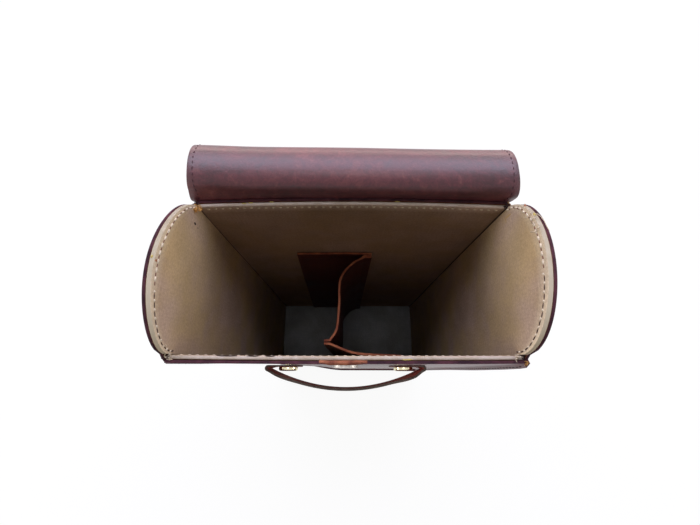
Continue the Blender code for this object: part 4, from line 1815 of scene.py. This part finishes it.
@dataclass
class Catch(BagPart):
    """What shows of the snap at the front rim: its metal and the raw patch folded over the edge."""

    half_width: float = 13 * MM
    patch: float = 0.5 * MM

    def folded_patch(self) -> None:
        """Raw leather from inside the panel over its top edge, with frayed ends."""
        top, face = self.sizes.rim_z, -self.sizes.outer_y
        inside = face + self.sizes.leather + 0.1 * MM
        line = [(inside, top - 7 * MM), (inside, top - 0.6 * MM)]
        line += [(inside - 0.35 * MM, top + 0.25 * MM)]
        line += [(face + 1.0 * MM, top + 0.5 * MM), (face + 0.35 * MM, top + 0.35 * MM)]
        line += [(face - 0.1 * MM, top - 0.05 * MM), (face - 0.35 * MM, top - 1.0 * MM)]
        bend = smooth_curve([Vector((0, y, z)) for y, z in line], 4)
        lengths = run_lengths(bend)
        columns = spaced(-self.half_width - 1 * MM, self.half_width - 1 * MM, 1.6 * MM)

        def place(i: int, j: int) -> Vector:
            x = columns[i]
            fray = noise.noise_vector(Vector((x * 420, j * 0.35, 5.5))) * 0.2 * MM
            end = eased(abs(x + 1 * MM) / self.half_width, 0.4, 0.6)
            drawn = Vector((0, (inside - bend[j].y) * 0.3 * end, -0.5 * MM * end))
            return bend[j] + drawn + Vector((x + fray.x, fray.y, fray.z * 0.6))

        bm = grid_mesh(len(columns), len(bend), place, lambda i, j: (columns[i], lengths[j]))
        looks = [self.finishes.raw_patch]
        obj = thick_piece("snap_patch_leather", bm, self.patch, looks, 0.12 * MM, 1)
        self.dress(obj, "divider_leather", "snap_patch", smooth=60)

    def build(self) -> None:
        """Finish the snap's metal and fold the patch."""
        for node in ("snap_socket", "snap_washer", "snap_stud"):
            paint(node, self.finishes.nickel)
        self.folded_patch()


@dataclass
class RoughFinish(BagPart):
    """Hand-made roughness: thread ends at the corners, stray holes, dye and glue marks, and slits
    of painted shade under the front rim.
    """

    thread_radius: float = 0.19 * MM


    def tangle(self, centre: Vector, spread: Vector, count: int, seed: int) -> list[list[Vector]]:
        """Curly thread ends.

        Args:
            centre: where they gather.
            spread: how far they reach each way.
            count: how many there are.
            seed: which tangle it is.

        Returns:
            A line of points for each.
        """
        chance = Random(seed)

        def any_way() -> Vector:
            return Vector([chance.uniform(-1, 1) for _ in range(3)])

        strands = []
        for _ in range(count):
            place = centre + any_way() * spread
            heading = any_way().normalized()
            strand = [place.copy()]
            for _ in range(chance.randint(6, 11)):
                pull = centre - place
                pull = 0.6 * pull / max(spread.length, MM)
                heading = (heading + 0.8 * any_way() + pull).normalized()
                place = place + heading * 0.6 * MM
                strand.append(place.copy())
            strands.append(strand)
        return strands

    def threads(self) -> None:
        """The tangles, by colour."""
        half_x, half_y, rim = self.sizes.half_x, self.sizes.half_y, self.sizes.rim_z

        crown = self.sizes.crown_z
        flat = Vector((2.6, 2.2, 0.9)) * MM
        orange, cream, dark = [], [], []
        for strands, x, y, z, spread, count, seed in (
            (orange, -half_x - 0.6 * MM, half_y - 1 * MM, 1, flat, 22, 3),
            (orange, -half_x + 0.6 * MM, half_y - 3.5 * MM, 3.5, (0.6, 1.4, 2.4), 14, 5),
            (orange, half_x + 2 * MM, half_y + 1.5 * MM, 1, flat * 0.8, 3, 8),
            (orange, half_x + 3.6 * MM, -half_y - 3.4 * MM, -0.4, flat * 0.5, 4, 11),
            (cream, -half_x, -half_y - 1 * MM, 0.6, flat, 9, 17),
            (cream, -half_x - 0.6 * MM, -half_y + 3 * MM, 5, (0.7, 1.2, 2.2), 4, 19),
            (cream, half_x - 1 * MM, -half_y - 1 * MM, 0.6, flat * 0.7, 5, 23),
            (dark, half_x + 0.5 * MM, half_y + 1.0 * MM, 0.8, flat * 0.8, 8, 41),
            (dark, -half_x - 1 * MM, half_y + 2 * MM, 0.8, flat * 0.7, 5, 43),
            (dark, -half_x - 1.5 * MM, -half_y - 1.5 * MM, 0.2, flat * 0.8, 7, 47),
            (dark, half_x + 1.0 * MM, -half_y - 1.5 * MM, 0.2, flat * 0.8, 7, 53),
        ):
            reach = Vector(spread) * MM if isinstance(spread, tuple) else spread
            strands += self.tangle(Vector((x, y, rim + z * MM)), reach, count, seed)
        for y, seed in ((29 * MM, 29), (25 * MM, 31), (18 * MM, 37)):
            place = Vector((half_x + 0.2 * MM, y, crown(y) - 2 * MM))
            cream += self.tangle(place, Vector((0.7, 1.3, 1.3)) * MM, 4, seed)
        loose = ((0.6, 29, 0.3), (2.0, 28.5, 0.9), (3.3, 26.5, 0.5))
        loose += ((3.6, 23, 0.7), (3.4, 19.5, 0.8), (4.2, 17, 0.3))
        cream.append(
            [Vector((half_x + x * MM, y * MM, crown(y * MM) + z * MM)) for x, y, z in loose]
        )
        finishes = self.finishes
        for name, strands, material in (
            ("orange_thread_ends", orange, finishes.orange_thread),
            ("cream_thread_ends", cream, finishes.cream_thread),
            ("dark_thread_ends", dark, finishes.dark_thread),
        ):
            obj = thread_piece(name, strands, self.thread_radius, material)
            self.dress(obj, "canvas_lining", smooth=None)

    def marks(self) -> None:
        """Stray holes, slits of painted shade under the front rim, smears of dye and drops of glue,
        as thin dabs.
        """
        half_x, half_y, rim = self.sizes.half_x, self.sizes.half_y, self.sizes.rim_z
        crown = self.sizes.crown_z
        to_right, to_left, up = Vector((1, 0, 0)), Vector((-1, 0, 0)), Vector((0, 0, 1))
        back = Vector((0, 1, 0))
        holes, dye, glue, gold = StitchRow(), StitchRow(), StitchRow(), StitchRow()
        marks = [
            (holes, -half_x, 33, rim, up, to_right, (3.0, 1.5, 0.4)),
            (holes, -half_x, 32, rim - 4.5 * MM, up, to_right, (1.4, 0.7, 0.3)),
            (dye, -half_x - 0.6 * MM, 0.4, crown(0) - 1.6 * MM, up, to_right, (3.2, 2.6, 1.6)),
            (gold, half_x, 38.2, rim + 1 * MM, up, to_left, (7, 1.5, 0.3)),
            (gold, half_x, 36.8, rim - 2 * MM, back, to_left, (4.5, 1.2, 0.3)),
            (dye, half_x + 1 * MM, 37, crown(37 * MM), back, up, (3, 1.4, 0.7)),
        ]
        # Painted shade: dark slits along the front rim, where the lining stands a little off the
        # edge.
        for x, length in ((-64, 12), (-50, 7), (-40.5, 5)):
            y = -half_y / MM - 0.25
            size = (length, 0.9, 0.5)
            marks.append((holes, x * MM, y, rim - 0.25 * MM, to_right, Vector((0, 1, 1)), size))
        for x, y in ((-67, 45.6), (-63, 45.9), (-50, 46.2), (28, 46.4), (35, -46.0), (32.5, -46.1)):
            marks.append((glue, x * MM, y, rim, to_right, up, (3.2, 0.8, 0.5)))
        marks += [
            (glue, -half_x - 1.6 * MM, 2, crown(0) - 0.1 * MM, back, up, (1.8, 1.2, 0.8)),
            (glue, half_x + 1 * MM, 28.3, crown(28.3 * MM), back, up, (2.6, 1.5, 0.9)),
        ]
        for row, x, y, z, along, out, size in marks:
            row.dab(Vector((x, y * MM, z)), along, out, tuple(value * MM for value in size))
        for name, row, material in (
            ("stray_holes_and_gap_shade", holes, self.finishes.dark_hole_and_gap_shade),
            ("dye_marks", dye, self.finishes.dye),
            ("glue_marks", glue, self.finishes.glue),
            ("gold_stains", gold, self.finishes.gold_stain),
        ):
            self.dress(row.finish(name, material), "canvas_lining", smooth=None)

    def build(self) -> None:
        """Lay the threads and the marks."""
        self.threads()
        self.marks()


def paint(node: str, material: bpy.types.Material) -> None:
    """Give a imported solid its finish."""
    obj = frame["nodes"][node]
    if not obj.material_slots:
        obj.data.materials.append(material)
    for slot in obj.material_slots:
        slot.material = material


@dataclass
class Studio:
    """Pale floor, soft light and the photograph's camera."""

    sizes: BagSizes
    focal_px: float = 349.1
    image_width_px: float = 700
    height_over_rim: float = 195.5 * MM
    place_x: float = 2.3 * MM
    place_y: float = -52.7 * MM
    pitch_deg: float = 17.40
    yaw_deg: float = 0.14
    roll_deg: float = -0.14

    def camera(self) -> None:
        """The camera, above the mouth and a little in front of it."""
        data = bpy.data.cameras.new("camera")
        data.sensor_width = 36
        data.lens = self.focal_px / self.image_width_px * data.sensor_width
        data.clip_start = 0.01
        camera = link_object("camera", data)
        turn = Matrix.Rotation(math.radians(self.yaw_deg), 4, "Z")
        turn = turn @ Matrix.Rotation(math.radians(self.pitch_deg), 4, "X")
        turn = turn @ Matrix.Rotation(math.radians(self.roll_deg), 4, "Y")
        place = Vector((self.place_x, self.place_y, self.sizes.rim_z + self.height_over_rim))
        camera.matrix_world = Matrix.Translation(place) @ turn
        bpy.context.scene.camera = camera

    def floor(self) -> None:
        """A pale floor that the camera sees as white, with a soft shadow."""
        bm = bmesh.new()
        bmesh.ops.create_grid(bm, x_segments=1, y_segments=1, size=6)
        tree = Tree("floor")
        tree.shade({"Base Color": (0.85, 0.85, 0.85), "Roughness": 0.9, "Specular IOR Level": 0.1})
        glow = tree.add("Emission", {"Color": (1, 1, 1, 1), "Strength": 1.0})
        seen = tree.seen()
        parts = tree.add("SeparateXYZ", {0: tree.object()}).outputs
        far_x, far_y = tree.calc("ABSOLUTE", parts["X"]), tree.calc("ABSOLUTE", parts["Y"])
        far = tree.calc("MAXIMUM", far_x, far_y)
        tree.shows(tree.times(seen, tree.fit(far, 0.25, 1.0, 0.92, 1.0)), glow)
        new_piece("floor", bm, [tree.owner])

    def lamp(
        self, name: str, place: Vector, size: tuple[float, float], watts: float, tint: Colour
    ) -> None:
        """A soft rectangular lamp that points at the bag's mouth.

        Args:
            name: the lamp's name.
            place: where it hangs.
            size: its width and height.
            watts: its power.
            tint: its colour.
        """
        data = bpy.data.lights.new(name, "AREA")
        data.shape = "RECTANGLE"
        data.size, data.size_y = size
        data.energy = watts
        data.color = tint
        lamp = link_object(name, data)
        lamp.location = place
        mouth = Vector((0, 0, self.sizes.rim_z))
        lamp.rotation_euler = (mouth - place).to_track_quat("-Z", "Y").to_euler()

    def light(self) -> None:
        """Windows at both sides and behind, and a world that is white where it is seen."""
        warm = (1.0, 0.95, 0.87)
        for name, place, size, watts, tint in (
            ("left_window", (-1.4, -0.15, 0.61), (1.1, 0.42), 10.8, warm),
            ("right_window", (1.4, 0.0, 0.61), (1.1, 0.42), 10, warm),
            ("back_sky", (0, 0.85, 1.45), (2.4, 1.1), 44, (0.72, 0.77, 1.0)),
            ("back_low", (0, 1.5, 0.50), (2.2, 0.4), 14, (1.0, 0.76, 0.70)),
            ("overhead", (0, 0, 1.9), (0.5, 0.5), 3.0, (1.0, 1.0, 1.0)),
        ):
            self.lamp(name, Vector(place), size, watts, tint)
        world = Tree("studio", world=True)
        world.put(world.shader.inputs["Color"], (0.95, 0.97, 1.0, 1.0))
        world.put(world.shader.inputs["Strength"], 0.09)
        white = world.add("Background", {"Color": (1, 1, 1, 1), "Strength": 1.0})
        world.shows(world.seen(), white)
        bpy.context.scene.world = world.owner

    def build(self) -> None:
        """Set the stage."""
        self.camera()
        self.floor()
        self.light()
        bpy.context.scene.view_settings.view_transform = "Standard"


def main() -> None:
    """Build the bag piece by piece and report each one."""
    logging.basicConfig(level=logging.INFO, format="%(name)s: %(message)s")
    noise.seed_set(NOISE_SEED)
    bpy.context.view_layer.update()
    sizes = BagSizes.from_frame()
    slump = Slump(sizes)
    finishes = Finishes(sizes)
    Studio(sizes).build()
    LeatherShell(sizes, slump, finishes).build()
    Lining(sizes, slump, finishes).build()
    Divider(sizes, slump, finishes).build()
    Lid(sizes, slump, finishes).build()
    Handle(sizes, finishes).build()
    Catch(sizes, slump, finishes).build()
    RoughFinish(sizes, slump, finishes).build()


if __name__ == "__main__":
    main()
